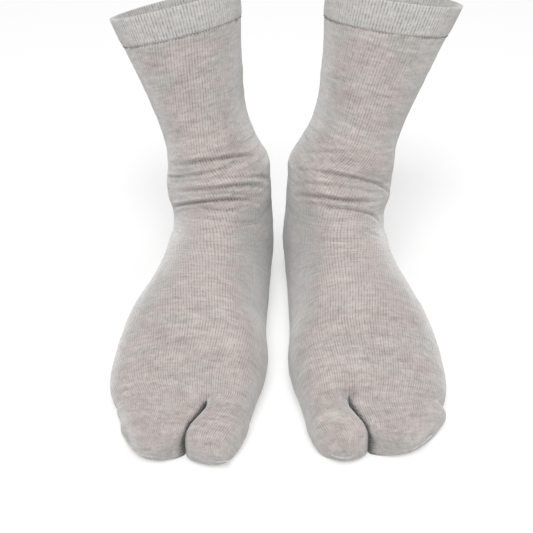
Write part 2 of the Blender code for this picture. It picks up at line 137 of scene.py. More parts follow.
LEG_RINGS = table(LegRing, (
    (0.1160, 0.0412, 0.0386, 0.0425, 0.0440),
    (0.0960, 0.0360, 0.0352, 0.0393, 0.0408),
    (0.0780, 0.0322, 0.0322, 0.0367, 0.0380),
    (0.0600, 0.0286, 0.0299, 0.0355, 0.0366),
    (0.0460, 0.0284, 0.0295, 0.0362, 0.0368),
    (0.0330, 0.0308, 0.0320, 0.0380, 0.0378),
))
CUFF_TOP = LegRing(0.1350, 0.0450, 0.0420, 0.0450, 0.0468)
FOOT_RINGS = table(FootRing, (
    (-0.0670, 0.1085, 0.0105, 0.0885, 0.0316, 0.0382, 0.000, 0.50, 0.009, 2.1, 2.1),
    (-0.0725, 0.0995, 0.0115, 0.0745, 0.0328, 0.0368, 0.000, 0.50, 0.008, 2.1, 2.1),
    (-0.0775, 0.0930, 0.0155, 0.0580, 0.0333, 0.0338, -0.001, 0.50, 0.006, 2.1, 2.2),
    (-0.0820, 0.0885, 0.0218, 0.0400, 0.0330, 0.0334, -0.001, 0.48, 0.005, 2.1, 2.3),
    (-0.0870, 0.0848, 0.0252, 0.0215, 0.0333, 0.0350, -0.002, 0.44, 0.004, 2.1, 2.4),
    (-0.0915, 0.0821, 0.0215, 0.0060, 0.0337, 0.0373, -0.002, 0.41, 0.003, 2.1, 2.6),
    (-0.0950, 0.0800, 0.0110, 0.0000, 0.0339, 0.0386, -0.002, 0.39, 0.003, 2.1, 2.7),
    (-0.1000, 0.0770, -0.0120, 0.0000, 0.0348, 0.0402, -0.003, 0.34, 0.002, 2.1, 2.9),
    (-0.1090, 0.0718, -0.0520, 0.0000, 0.0373, 0.0446, -0.004, 0.30, 0.001, 2.1, 3.0),
    (-0.1215, 0.0648, -0.0920, 0.0000, 0.0413, 0.0500, -0.005, 0.30, 0.000, 2.1, 3.0),
    (-0.1380, 0.0550, -0.1220, 0.0000, 0.0466, 0.0521, -0.006, 0.32, 0.001, 2.2, 3.0),
    (-0.1520, 0.0468, -0.1430, 0.0000, 0.0472, 0.0518, -0.008, 0.36, 0.002, 2.2, 3.0),
    (-0.1650, 0.0398, -0.1610, 0.0000, 0.0453, 0.0502, -0.010, 0.38, 0.003, 2.3, 3.0),
    (-0.1745, 0.0350, -0.1720, 0.0000, 0.0441, 0.0474, -0.012, 0.40, 0.003, 2.4, 3.0),
    (-0.1810, 0.0318, -0.1800, 0.0000, 0.0434, 0.0445, -0.013, 0.42, 0.003, 2.5, 3.0),
))
LEG_NARROW, FOLDS_TOP, ANKLE, FOLDS_END, INSTEP, BALL = 3, 4, 6, 8, 9, -5    # key rings
SPANS = (8, 8, 8, 16, 24, 24, 16, 12, 12, 8, 8, 5, 5, 9, 12, 12, 10, 8, 6, 5)
BIG_TOE_RINGS = {
    Side.RIGHT: table(ToeRing, (
        (-0.0172, -0.1870, -0.0437, -0.1860, 0.0300, 0.0290, 0.0000, 0.0010, 2.4),
        (-0.0142, -0.1935, -0.0426, -0.1925, 0.0280, 0.0264, 0.0000, 0.0012, 2.4),
        (-0.0098, -0.2000, -0.0411, -0.1992, 0.0250, 0.0240, 0.0000, 0.0015, 2.4),
        (-0.0083, -0.2052, -0.0385, -0.2050, 0.0215, 0.0208, 0.0000, 0.0020, 2.4),
        (-0.0094, -0.2090, -0.0368, -0.2092, 0.0172, 0.0166, 0.0010, 0.0024, 2.3),
        (-0.0124, -0.2117, -0.0359, -0.2123, 0.0128, 0.0124, 0.0040, 0.0026, 2.3),
        (-0.0144, -0.2124, -0.0358, -0.2130, 0.0098, 0.0094, 0.0066, 0.0026, 2.0),
    )),
    Side.LEFT: table(ToeRing, (
        (-0.0172, -0.1860, -0.0437, -0.1855, 0.0300, 0.0290, 0.0000, 0.0010, 2.4),
        (-0.0142, -0.1925, -0.0427, -0.1920, 0.0280, 0.0264, 0.0000, 0.0012, 2.4),
        (-0.0102, -0.1980, -0.0413, -0.1974, 0.0248, 0.0240, 0.0000, 0.0015, 2.4),
        (-0.0088, -0.2022, -0.0392, -0.2014, 0.0213, 0.0206, 0.0000, 0.0022, 2.4),
        (-0.0098, -0.2058, -0.0362, -0.2048, 0.0170, 0.0164, 0.0010, 0.0030, 2.3),
        (-0.0126, -0.2084, -0.0333, -0.2076, 0.0126, 0.0122, 0.0040, 0.0036, 2.2),
        (-0.0146, -0.2091, -0.0322, -0.2080, 0.0096, 0.0092, 0.0066, 0.0038, 2.0),
    )),
}
OTHER_TOES_RINGS = {
    Side.RIGHT: table(ToeRing, (
        (-0.0166, -0.1868, 0.0400, -0.1835, 0.0298, 0.0222, 0.0000, 0.0010, 2.4),
        (-0.0136, -0.1935, 0.0373, -0.1880, 0.0276, 0.0206, 0.0000, 0.0028, 2.4),
        (-0.0092, -0.2000, 0.0355, -0.1923, 0.0242, 0.0192, 0.0000, 0.0046, 2.4),
        (-0.0077, -0.2050, 0.0344, -0.1962, 0.0212, 0.0172, 0.0000, 0.0060, 2.4),
        (-0.0054, -0.2079, 0.0322, -0.1992, 0.0168, 0.0140, 0.0010, 0.0084, 2.3),
        (-0.0028, -0.2104, 0.0302, -0.2015, 0.0124, 0.0106, 0.0038, 0.0094, 2.2),
        (-0.0008, -0.2108, 0.0294, -0.2021, 0.0096, 0.0086, 0.0062, 0.0097, 2.0),
    )),
    Side.LEFT: table(ToeRing, (
        (-0.0166, -0.1858, 0.0444, -0.1838, 0.0298, 0.0222, 0.0000, 0.0010, 2.4),
        (-0.0137, -0.1928, 0.0432, -0.1874, 0.0276, 0.0208, 0.0000, 0.0024, 2.4),
        (-0.0097, -0.1986, 0.0404, -0.1908, 0.0242, 0.0194, 0.0000, 0.0038, 2.4),
        (-0.0082, -0.2030, 0.0374, -0.1938, 0.0212, 0.0174, 0.0000, 0.0048, 2.4),
        (-0.0052, -0.2051, 0.0345, -0.1964, 0.0168, 0.0142, 0.0010, 0.0061, 2.3),
        (-0.0022, -0.2072, 0.0322, -0.1984, 0.0124, 0.0106, 0.0038, 0.0067, 2.2),
        (0.0002, -0.2076, 0.0313, -0.1989, 0.0096, 0.0086, 0.0062, 0.0068, 2.0),
    )),
}
POCKET_SPANS = (6, 6, 6, 5, 5, 4, 2)
FRONT, BACK = Place.FRONT, Place.BACK
CREASES = {
    Side.RIGHT: table(Crease, (
        (FRONT, 0.0822, -0.0043, 0.026, -0.143, 0.0026, 0.0015, 0.0022),
        (FRONT, 0.0898, 0.0167, 0.032, 0.061, 0.0018, 0.0009, 0.0022),
        (FRONT, 0.1013, -0.0249, 0.022, -0.297, 0.0005, 0.0006, 0.0022),
        (FRONT, 0.1011, 0.0002, 0.032, -0.113, 0.0043, 0.0014, 0.0021),
        (FRONT, 0.1096, -0.0148, 0.013, -0.326, 0.0000, 0.0009, 0.0018),
        (FRONT, 0.1090, 0.0098, 0.033, -0.011, 0.0056, 0.0020, 0.0021),
        (FRONT, 0.1153, 0.0044, 0.015, -0.231, 0.0002, 0.0010, 0.0019),
        (FRONT, 0.1251, -0.0076, 0.021, -0.193, -0.0014, 0.0006, 0.0024),
        (BACK, 0.0720, 0.0060, 0.027, 0.060, -0.0030, 0.0009, 0.0036),
        (BACK, 0.0860, -0.0070, 0.022, -0.050, 0.0020, 0.0012, 0.0038),
        (BACK, 0.1010, 0.0040, 0.029, 0.030, -0.0025, 0.0010, 0.0038),
    )),
    Side.LEFT: table(Crease, (
        (FRONT, 0.0872, -0.0216, 0.015, -0.383, 0.0001, 0.0006, 0.0024),
        (FRONT, 0.0972, 0.0114, 0.038, 0.091, 0.0087, 0.0014, 0.0022),
        (FRONT, 0.1052, -0.0026, 0.024, -0.120, 0.0026, 0.0009, 0.0021),
        (FRONT, 0.1134, -0.0003, 0.028, -0.098, 0.0019, 0.0019, 0.0021),
        (FRONT, 0.1196, 0.0168, 0.024, 0.159, 0.0047, 0.0013, 0.0021),
        (FRONT, 0.1358, 0.0298, 0.011, 0.289, -0.0004, 0.0007, 0.0022),
        (BACK, 0.0750, -0.0050, 0.025, -0.050, -0.0025, 0.0010, 0.0038),
        (BACK, 0.0900, 0.0080, 0.029, 0.040, 0.0020, 0.0011, 0.0038),
        (BACK, 0.1060, -0.0020, 0.021, -0.030, -0.0020, 0.0008, 0.0038),
    )),
}


# --- finishes ---------------------------------------------------------------------------


def blank_material(name: str, roughness: float) -> tuple:
    """A new material, its wiring and its Principled shader."""
    made = bpy.data.materials.new(name)
    made.use_nodes = True
    shader = made.node_tree.nodes["Principled BSDF"]
    shader.inputs["Roughness"].default_value = roughness
    return made, Wiring(made.node_tree), shader


def place_object(name: str, data: bpy.types.ID) -> bpy.types.Object:
    """A new object of some data, put in the scene."""
    made = bpy.data.objects.new(name, data)
    bpy.context.scene.collection.objects.link(made)
    return made


@dataclass
class Wiring:
    """Adds nodes to one node tree and wires them together."""

    tree: bpy.types.NodeTree

    def node(self, kind: str, inputs: dict | None = None, **settings) -> bpy.types.Node:
        """Adds a node.

        Args:
            kind: the node's type name.
            inputs: a value or a socket to wire for each input, by name or index.
            settings: the node's own settings.

        Returns:
            The new node.
        """
        made = self.tree.nodes.new(kind)
        for name, value in settings.items():
            setattr(made, name, value)
        for name, value in (inputs or {}).items():
            self.feed(made.inputs[name], value)
        return made

    def feed(self, socket: bpy.types.NodeSocket, value: Feed) -> None:
        """Wires a socket into an input, or sets the input's value."""
        if isinstance(value, bpy.types.NodeSocket):
            self.tree.links.new(value, socket)
        else:
            socket.default_value = value

    def math(self, operation: str, *values: Feed, clamp: bool = False) -> bpy.types.NodeSocket:
        """Adds a Math node.

        Args:
            operation: what it works out.
            values: its numbers or sockets.
            clamp: whether the result is kept from 0 to 1.

        Returns:
            The result's socket.
        """
        made = self.node("ShaderNodeMath", dict(enumerate(values)), operation=operation,
                         use_clamp=clamp)
        return made.outputs[0]

    def ease(self, value: Feed, low: float, high: float) -> bpy.types.NodeSocket:
        """A value's smooth climb from 0 at low to 1 at high."""
        made = self.node("ShaderNodeMapRange", {0: value, 1: low, 2: high},
                         interpolation_type="SMOOTHSTEP")
        return made.outputs[0]

    def mix(self, share: Feed, first: Feed, second: Feed) -> bpy.types.NodeSocket:
        """A colour between two colours."""
        made = self.tree.nodes.new("ShaderNodeMix")
        made.data_type = "RGBA"
        self.feed(made.inputs[0], share)
        self.feed(made.inputs[6], first)
        self.feed(made.inputs[7], second)
        return made.outputs[2]


@dataclass(frozen=True)
class EffectGroup:
    """A shader node group with named sockets, built once and shared by the finishes."""

    name: str
    takes: tuple[tuple[str, float], ...]
    gives: tuple[str, ...]

    def tree(self) -> bpy.types.NodeTree:
        """The group's node tree, made the first time that it is asked for."""
        made = bpy.data.node_groups.get(self.name)
        if made is None:
            made = bpy.data.node_groups.new(self.name, "ShaderNodeTree")
            for name, usual in self.takes:
                socket = made.interface.new_socket(name=name, in_out="INPUT",
                                                   socket_type="NodeSocketFloat")
                socket.default_value = usual
            for name in self.gives:
                made.interface.new_socket(name=name, in_out="OUTPUT",
                                          socket_type="NodeSocketFloat")
            wiring = Wiring(made)
            source = wiring.node("NodeGroupInput").outputs
            sink = wiring.node("NodeGroupOutput").inputs
            self.fill(wiring, source, sink)
        return made

    def fill(self, wiring: Wiring, source: Sockets, sink: Sockets) -> None:
        """Wires the group's own nodes between its inputs and outputs."""
        raise NotImplementedError


@dataclass(frozen=True)
class StitchGroup(EffectGroup):
    """The relief of plain knitting: upright wales of V-shaped stitches, and the painted shade
    between them.
    """

    name: str = "plain_knit_stitches"
    takes: tuple = (("Wales", 0.0), ("Courses", 0.0), ("Slant", 0.8), ("Seed", 0.0))
    gives: tuple = ("Height", "Valley")

    def fill(self, wiring: Wiring, source: Sockets, sink: Sockets) -> None:
        """Wires the wale's round back, its stitches' slanting legs and the uneven painted shade
        in its valleys.
        """
        part = wiring.math("FRACT", source["Wales"])
        side = wiring.math("ABSOLUTE", wiring.math("MULTIPLY_ADD", part, 2.0, -1.0))
        back = wiring.math("SUBTRACT", 1.0, wiring.math("POWER", side, 2.2))
        lean = wiring.math("MULTIPLY", side, source["Slant"])
        turn = wiring.math("MULTIPLY", wiring.math("ADD", source["Courses"], lean), math.tau)
        loop = wiring.math("MULTIPLY_ADD", wiring.math("COSINE", turn), 0.07, 0.93)
        wiring.feed(sink["Height"], wiring.math("MULTIPLY", back, loop))
        valley = wiring.math("FLOOR", wiring.math("ADD", source["Wales"], 0.5))
        place = wiring.node("ShaderNodeCombineXYZ", {
            0: wiring.math("MULTIPLY", valley, 1.7),
            1: wiring.math("MULTIPLY", source["Courses"], 0.22), 2: source["Seed"]})
        made = wiring.node("ShaderNodeTexNoise", {
            "Vector": place.outputs[0], "Scale": 1.0, "Detail": 2.0, "Roughness": 0.6})
        uneven = wiring.math("MULTIPLY", wiring.ease(made.outputs[0], 0.28, 0.68), 1.7)
        # painted shade in the valleys between the wales, uneven along them
        wiring.feed(sink["Valley"], wiring.math(
            "MULTIPLY", wiring.math("POWER", side, 3.0), uneven))


@dataclass(frozen=True)
class HeatherGroup(EffectGroup):
    """The uneven greys of heather yarn, which run round the sock along its courses."""

    name: str = "heather_yarn"
    takes: tuple = (("Wales", 0.0), ("Courses", 0.0), ("Round", float(WALES)), ("Seed", 0.0))
    gives: tuple = ("Tone", "Tint")
    clouds: tuple = ((0.045, 0.075, 2.0, 0.28), (0.11, 0.42, 3.0, 0.72),
                     (0.30, 0.70, 3.0, 0.80), (0.9, 0.9, 2.0, 0.45))
    tint_cloud: tuple = (0.07, 0.10, 3.0)

    def fill(self, wiring: Wiring, source: Sockets, sink: Sockets) -> None:
        """Wires noise that is drawn out along the courses and closes on itself round the sock."""
        radius = wiring.math("DIVIDE", source["Round"], math.tau)
        angle = wiring.math("DIVIDE", source["Wales"], radius)
        across = wiring.math("MULTIPLY", wiring.math("COSINE", angle), radius)
        deep = wiring.math("MULTIPLY", wiring.math("SINE", angle), radius)

        def cloud(along: float, up: float, detail: float) -> bpy.types.NodeSocket:
            """Noise of one size along and across the courses."""
            place = wiring.node("ShaderNodeCombineXYZ", {
                0: wiring.math("MULTIPLY", across, along),
                1: wiring.math("MULTIPLY", deep, along),
                2: wiring.math("MULTIPLY", source["Courses"], up)})
            made = wiring.node("ShaderNodeTexNoise", {
                "Vector": place.outputs[0], "W": source["Seed"], "Scale": 1.0,
                "Detail": detail, "Roughness": 0.6}, noise_dimensions="4D")
            return made.outputs[0]

        tone = 0.0
        for *sizes, share in self.clouds:
            tone = wiring.math("ADD", tone, wiring.math(
                "MULTIPLY_ADD", cloud(*sizes), share, -share / 2))
        wiring.feed(sink["Tone"], tone)
        wiring.feed(sink["Tint"], wiring.ease(cloud(*self.tint_cloud), 0.35, 0.65))


@dataclass(frozen=True)
class FuzzGroup(EffectGroup):
    """The short soft nap on the face of the yarn."""

    name: str = "yarn_nap"
    takes: tuple = (("Size", 2600.0),)
    gives: tuple = ("Height",)

    def fill(self, wiring: Wiring, source: Sockets, sink: Sockets) -> None:
        """Wires fine noise over the piece's own space."""
        place = wiring.node("ShaderNodeTexCoord").outputs["Object"]
        made = wiring.node("ShaderNodeTexNoise", {
            "Vector": place, "Scale": source["Size"], "Detail": 2.0, "Roughness": 0.7})
        wiring.feed(sink["Height"], made.outputs[0])


@dataclass(frozen=True)
class KnitFinish:
    """A heather knit: two greys that meet where the cloth turns away, streaked, stitched, with
    painted shade and light.
    """

    name: str
    face: Colour
    shade: Colour
    seed: float
    courses: float = 1.0
    stitch_height: float = 0.00034
    streak: float = 1.0
    # painted shade: how dark the stitch valleys are painted, how strongly the mesh's painted
    # shade and painted light change the colour, and how much that painted shade deepens the
    # valleys
    wale_shade: float = 0.26
    shade_dark: float = 0.30
    shade_valley: float = 1.6
    tint_share: float = 0.9
    roughness: float = 0.92
    specular: float = 0.25
    sheen: float = 0.78
    sheen_roughness: float = 0.45
    relief: float = 0.8
    nap_relief: float = 0.35
    nap_height: float = 0.00012

    def build(self) -> bpy.types.Material:
        """Makes the material.

        Returns:
            The finished material.
        """
        made, wiring, shader = blank_material(self.name, self.roughness)
        shader.inputs["Specular IOR Level"].default_value = self.specular
        shader.inputs["Sheen Weight"].default_value = self.sheen
        shader.inputs["Sheen Roughness"].default_value = self.sheen_roughness
        plan = wiring.node("ShaderNodeUVMap", uv_map="knit").outputs[0]
        split = wiring.node("ShaderNodeSeparateXYZ", {0: plan}).outputs
        courses = wiring.math("MULTIPLY", split[1], self.courses)
        stitch = self.group(wiring, StitchGroup(), {
            "Wales": split[0], "Courses": courses, "Seed": self.seed})
        heather = self.group(wiring, HeatherGroup(), {
            "Wales": split[0], "Courses": courses, "Seed": self.seed})
        fuzz = self.group(wiring, FuzzGroup(), {})
        # the mesh's warmth of grey, and its painted shade, which is below 0 where light is
        # painted
        warmth, painted_shade = (wiring.node("ShaderNodeAttribute", attribute_name=name,
                                    attribute_type="GEOMETRY").outputs["Fac"]
                        for name in ("warmth", "painted_shade"))
        share = wiring.math("MULTIPLY_ADD", wiring.math("SUBTRACT", heather["Tint"], 0.5),
                            self.tint_share, warmth, clamp=True)
        colour = wiring.mix(share, (*self.shade, 1.0), (*self.face, 1.0))
        colour = self.scaled(wiring, colour, heather["Tone"], self.streak)
        # painted shade in the stitch valleys, deeper under the mesh's painted shade; then the
        # mesh's painted shade and painted light on the colour
        valley_shade = wiring.math("MULTIPLY", stitch["Valley"],
                               wiring.math("MULTIPLY_ADD", painted_shade, self.shade_valley, 1.0))
        colour = self.scaled(wiring, colour, valley_shade, -self.wale_shade)
        colour = self.scaled(wiring, colour, painted_shade, -self.shade_dark)
        wiring.feed(shader.inputs["Base Color"], colour)
        nap = wiring.node("ShaderNodeBump", {
            "Height": fuzz["Height"], "Strength": self.nap_relief,
            "Distance": self.nap_height})
        relief = wiring.node("ShaderNodeBump", {
            "Height": stitch["Height"], "Strength": self.relief,
            "Distance": self.stitch_height, "Normal": nap.outputs[0]})
        wiring.feed(shader.inputs["Normal"], relief.outputs[0])
        return made

    def group(self, wiring: Wiring, effect: EffectGroup, inputs: dict) -> Sockets:
        """Places a shared group and gives its outputs."""
        made = wiring.node("ShaderNodeGroup", node_tree=effect.tree())
        for name, value in inputs.items():
            wiring.feed(made.inputs[name], value)
        return made.outputs

    def scaled(self, wiring: Wiring, colour: Feed, mask: Feed,
               amount: float) -> bpy.types.NodeSocket:
        """A colour made darker or paler by an amount where a mask is 1."""
        factor = wiring.math("MULTIPLY_ADD", mask, amount, 1.0)
        made = wiring.node("ShaderNodeVectorMath", {0: colour}, operation="SCALE")
        wiring.feed(made.inputs["Scale"], factor)
        return made.outputs[0]


@dataclass(frozen=True)
class ThreadFinish:
    """Plain sewing thread with a fine twist."""

    name: str
    colour: Colour
    twist: float = 900.0
    paler: float = 1.18
    darker: float = 0.80
    roughness: float = 0.85
    sheen: float = 0.2
    relief: float = 0.5
    relief_height: float = 0.0002

    def build(self) -> bpy.types.Material:
        """Makes the material.

        Returns:
            The finished material.
        """
        made, wiring, shader = blank_material(self.name, self.roughness)
        shader.inputs["Sheen Weight"].default_value = self.sheen
        place = wiring.node("ShaderNodeTexCoord").outputs["Object"]
        cloud = wiring.node("ShaderNodeTexNoise", {
            "Vector": place, "Scale": self.twist, "Detail": 2.0}).outputs[0]
        pale = tuple(min(1.0, part * self.paler) for part in self.colour)
        dark = tuple(part * self.darker for part in self.colour)
        share = wiring.ease(cloud, 0.35, 0.65)
        wiring.feed(shader.inputs["Base Color"],
                    wiring.mix(share, (*dark, 1.0), (*pale, 1.0)))
        bump = wiring.node("ShaderNodeBump", {
            "Height": cloud, "Strength": self.relief, "Distance": self.relief_height})
        wiring.feed(shader.inputs["Normal"], bump.outputs[0])
        return made


@dataclass(frozen=True)
class FloorFinish:
    """A smooth pale studio floor."""

    name: str = "studio_floor"
    colour: Colour = (0.56, 0.56, 0.56)
    glow: float = 0.43
    mottle: float = 0.985
    roughness: float = 0.9
    specular: float = 0.1

    def build(self) -> bpy.types.Material:
        """Makes the material.

        Returns:
            The finished material.
        """
        made, wiring, shader = blank_material(self.name, self.roughness)
        shader.inputs["Specular IOR Level"].default_value = self.specular
        place = wiring.node("ShaderNodeTexCoord").outputs["Object"]
        cloud = wiring.node("ShaderNodeTexNoise", {"Vector": place, "Scale": 3.0}).outputs[0]
        pale = (*self.colour, 1.0)
        dark = (*(part * self.mottle for part in self.colour), 1.0)
        wiring.feed(shader.inputs["Base Color"], wiring.mix(cloud, dark, pale))
        shader.inputs["Emission Color"].default_value = (1.0, 1.0, 1.0, 1.0)
        shader.inputs["Emission Strength"].default_value = self.glow
        return made


# --- cloth ------------------------------------------------------------------------------


def hermite(places: np.ndarray, rows: np.ndarray, at: float) -> np.ndarray:
    """Interpolates rows smoothly at one place.

    Args:
        places: where each row stands along a line.
        rows: rows of numbers, of any shape.
        at: the place wanted.

    Returns:
        One row.
    """
    slopes = np.gradient(rows, places, axis=0)
    k = min(max(int(np.searchsorted(places, at, side="right")) - 1, 0), len(places) - 2)
    step = places[k + 1] - places[k]
    t = (at - places[k]) / step
    return ((2 * t**3 - 3 * t**2 + 1) * rows[k] + (t**3 - 2 * t**2 + t) * step * slopes[k]
            + (3 * t**2 - 2 * t**3) * rows[k + 1] + (t**3 - t**2) * step * slopes[k + 1])


def spread_places(places: np.ndarray, spans: tuple[int, ...]) -> np.ndarray:
    """Places of all rings, each gap between key places divided into its number of spans."""
    at = [places[k] + (places[k + 1] - places[k]) * j / n
          for k, n in enumerate(spans) for j in range(n)]
    return np.array([*at, places[-1]])


@dataclass(frozen=True)
class Loop:
    """A closed curve as many points, which gives even points along it."""

    points: np.ndarray

    def runs(self) -> np.ndarray:
        """The distance from the first point to each point, and last to the first again."""
        closed = np.vstack([self.points, self.points[:1]])
        steps = np.linalg.norm(np.diff(closed, axis=0), axis=1)
        return np.concatenate([[0.0], np.cumsum(steps)])

    def spaced(self, start: float, length: float, count: int) -> np.ndarray:
        """Points spread evenly over a length of the curve.

        Args:
            start: distance of the first point from the curve's own first point.
            length: how far they reach.
            count: how many there are.

        Returns:
            The points.
        """
        runs = self.runs()
        closed = np.vstack([self.points, self.points[:1]])
        wanted = (start + np.linspace(0.0, length, count)) % runs[-1]
        return np.stack([np.interp(wanted, runs, closed[:, a]) for a in range(3)], axis=1)


@dataclass
class Cloth:
    """A sheet of quads: the place, wale, course, warmth of grey and painted shade of each point.
    """

    points: np.ndarray
    wales: np.ndarray
    courses: np.ndarray
    warmth: np.ndarray
    painted_shade: np.ndarray

    def outward(self) -> np.ndarray:
        """Unit vectors out of the sheet at each of its points."""
        down = np.gradient(self.points, axis=0)
        along = np.gradient(self.points, axis=1)
        along[:, 0] = along[:, -1] = self.points[:, 1] - self.points[:, -2]
        out = np.cross(along, down)
        out /= np.maximum(np.linalg.norm(out, axis=2), 1e-12)[:, :, None]
        away = self.points - self.points[:, :-1].mean(axis=1)[:, None, :]
        return out * np.sign((out * away).sum(axis=2).mean())

    def add_to(self, mesh: bmesh.types.BMesh) -> None:
        """Adds the sheet to a mesh as a grid, with its UV map, its warmth and its painted shade.

        Args:
            mesh: the mesh that it joins.
        """
        rows, columns = self.points.shape[:2]
        knit = mesh.loops.layers.uv.get("knit") or mesh.loops.layers.uv.new("knit")
        layers = mesh.verts.layers.float
        warm = layers.get("warmth") or layers.new("warmth")
        # each point's painted shade, below 0 where light is painted
        painted_shade = layers.get("painted_shade") or layers.new("painted_shade")
        made = bmesh.ops.create_grid(mesh, x_segments=columns - 1, y_segments=rows - 1,
                                     size=1.0)["verts"]
        made.sort(key=lambda vert: (round(vert.co.y, 6), round(vert.co.x, 6)))
        grid = {vert: divmod(k, columns) for k, vert in enumerate(made)}
        faces = {face for vert in made for face in vert.link_faces}
        for face in faces:
            for loop in face.loops:
                row, column = grid[loop.vert]
                loop[knit].uv = (self.wales[row, column], self.courses[row, column])
        for vert, (row, column) in grid.items():
            vert.co = self.points[row, column]
            vert[warm] = self.warmth[row, column]
            vert[painted_shade] = self.painted_shade[row, column]


@dataclass
class Sock:
    """One tabi sock: where it stands, how its leg leans, and the pieces that it is made of."""

    name: str
    side: Side
    heel_x: float
    heel_y: float
    toe_out: float
    back_lean: float
    side_lean: float
    leg_x: float
    cuff_roll: float
    stretch: float
    girth: float
    cleft_reach: float
    spread: float
    seed: float
    twist: tuple[float, float]
    crease_gain: float
    # the ankle's y and z, the middle of the pair, the sole's flattening, and the wall
    ankle: tuple[float, float] = (-0.033, 0.080)
    pair_centre: tuple[float, float] = (0.0056, 0.0176)
    sole_press: float = 0.0020
    wall: float = 0.0012
    # the leg's roundness, the middle of a toe's height, and the last two rings' spread
    leg_round: float = 2.1
    toe_belly: float = 0.45
    spread_shares: tuple[float, float] = (0.4, 1.0)
    # points round a ring, and where its front and back lines lie
    around: int = 160
    toes_points: int = 100
    ball_points: int = 60
    cleft_count: int = 19
    front_column: int = 5
    back_column: int = 80
    samples: int = 60
    # the shares of a ring that go to the big toe and to the walls at the cleft
    big_toe_share: float = 0.362
    big_toe_cleft: float = 0.26
    other_toes_cleft: float = 0.18
    cleft_lead: float = 0.0020
    cleft_squareness: dict = field(default_factory=lambda: {True: 2.2, False: 5.0})
    cleft_width: float = 0.012
    cleft_shares: tuple[float, ...] = (1, 0.62, 0.34, 0.14)
    # creases: the ridges beside them, their width, and the painted shade of their troughs and
    # highlight of their ridges
    ridge_share: float = 0.45
    ridge_lead: float = 1.9
    ridge_highlight: float = 0.40
    ridge_pale: float = 0.4
    crease_narrowing: float = 0.60
    deep_crease: float = 0.0020
    # the knit: its slack, its crumpling at the ankle with painted shade over it, and its drawing
    # in at the toes
    slack: tuple[float, ...] = (0.04, 0.20, 0.12, -0.06, -0.06)
    dash_lean: float = 1.15
    dash_pitch: float = 0.0072
    crumple_shade: float = 0.06
    fold_run: float = 0.006
    pocket_narrowing: float = 0.20
    # slight unevenness: scales and height, and the rings over which it fades
    broad_wave: tuple[float, float] = (42.0, 0.00042)
    drawn_wave: tuple[float, float, float, float] = (38, 90, 190, 0.00030)
    even_rings: tuple[int, int] = (6, 12)
    # the warm grey: the side it is on, where it starts and how it climbs
    warm_side: tuple[float, float, float] = (-0.10, -0.62, 0.78)
    warm_start: float = 0.05
    warm_power: float = 1.6
    # the painted shade in the cleft, and the painted light on the pale tips
    cleft_lip: float = 0.0013
    cleft_shade: float = 0.0011
    cleft_dark: float = 3.1
    cleft_end: float = 0.007
    cleft_margin: int = 4
    cleft_fade: float = 3.0
    tip_light: float = 0.80
    tip_start: float = 0.003
    tip_run: float = 0.006
    tip_reach: float = 1.5
    # the hollow at the root of the cleft, and the painted shade in it
    dimple_depth: float = 0.0045
    dimple_radius: float = 0.0030
    dimple_lead: float = 0.0030
    crotch_radius: float = 0.0055
    crotch_rounds: int = 4
    crotch_factor: float = 0.4
    # the painted shadow between the heels: its middle and reach in x, and how dark it is
    gap_middle: float = -0.0040
    gap_near: float = 0.0035
    gap_fade: float = 0.0060
    gap_facing: float = 0.94
    gap_dark: float = 2.2
    # two slight bumps of the foot's inner edge: x, y and size
    pinch: tuple[float, float, float] = (0.0425, -0.1800, 0.0)
    ear: tuple[float, float, float] = (0.0436, -0.1874, 0.0)
    bump_radius: float = 0.0040
    # the closing of a pocket's end
    seam_bulge: float = 0.0008
    seam_turns: tuple[float, ...] = (0.45, 0.95, math.pi / 2)
    seam_runs: tuple[float, ...] = (0.0008, 0.0016, 0.0022)
    # what build_tube and close_end leave for the other pieces
    root_plan: tuple[float, float] = (0.0, 0.0)
    toe_seams: list = field(default_factory=list)

    # sections

    def leg_frame(self) -> tuple[np.ndarray, np.ndarray, np.ndarray]:
        """Unit vectors up the leg, to its front and to its outer side."""
        up = np.array([math.tan(math.radians(self.side_lean)),
                       math.tan(math.radians(self.back_lean)), 1.0])
        up /= np.linalg.norm(up)
        front = np.array([0.0, -1.0, 0.0])
        front = front - front.dot(up) * up
        front /= np.linalg.norm(front)
        return up, front, np.cross(up, front)

    def leg_section(self, ring: LegRing) -> np.ndarray:
        """A leg ring's guide points and roundings as one row of numbers."""
        up, front, outer = self.leg_frame()
        centre = np.array([self.leg_x, *self.ankle]) + up * ring.rise * self.stretch
        share = (ring.rise - LEG_RINGS[3].rise) / (LEG_RINGS[0].rise - LEG_RINGS[3].rise)
        roll = up * math.tan(math.radians(self.cuff_roll)) * min(max(share, 0.0), 1.0)
        return np.concatenate([
            centre, centre + front * ring.front, centre - front * ring.back,
            centre - (outer + roll) * ring.medial * self.girth,
            centre + (outer + roll) * ring.lateral * self.girth,
            (self.leg_round, self.leg_round, 0.0)])

    def foot_section(self, ring: FootRing) -> np.ndarray:
        """A foot ring's guide points and roundings as one row of numbers."""
        sunk = ring.back_z - (self.sole_press if ring.back_z == 0 else 0.0)
        front = np.array([0.0, ring.front_y, ring.front_z])
        back = np.array([0.0, ring.back_y, sunk])
        centre = back + (front - back) * ring.belly
        lift = np.array([0.0, 0.0, ring.tilt])
        side = np.array([1.0, 0.0, 0.0])
        return np.concatenate([
            centre, front, back, centre - side * ring.medial + lift,
            centre + side * ring.lateral - lift,
            (ring.front_round, ring.back_round, ring.crest)])

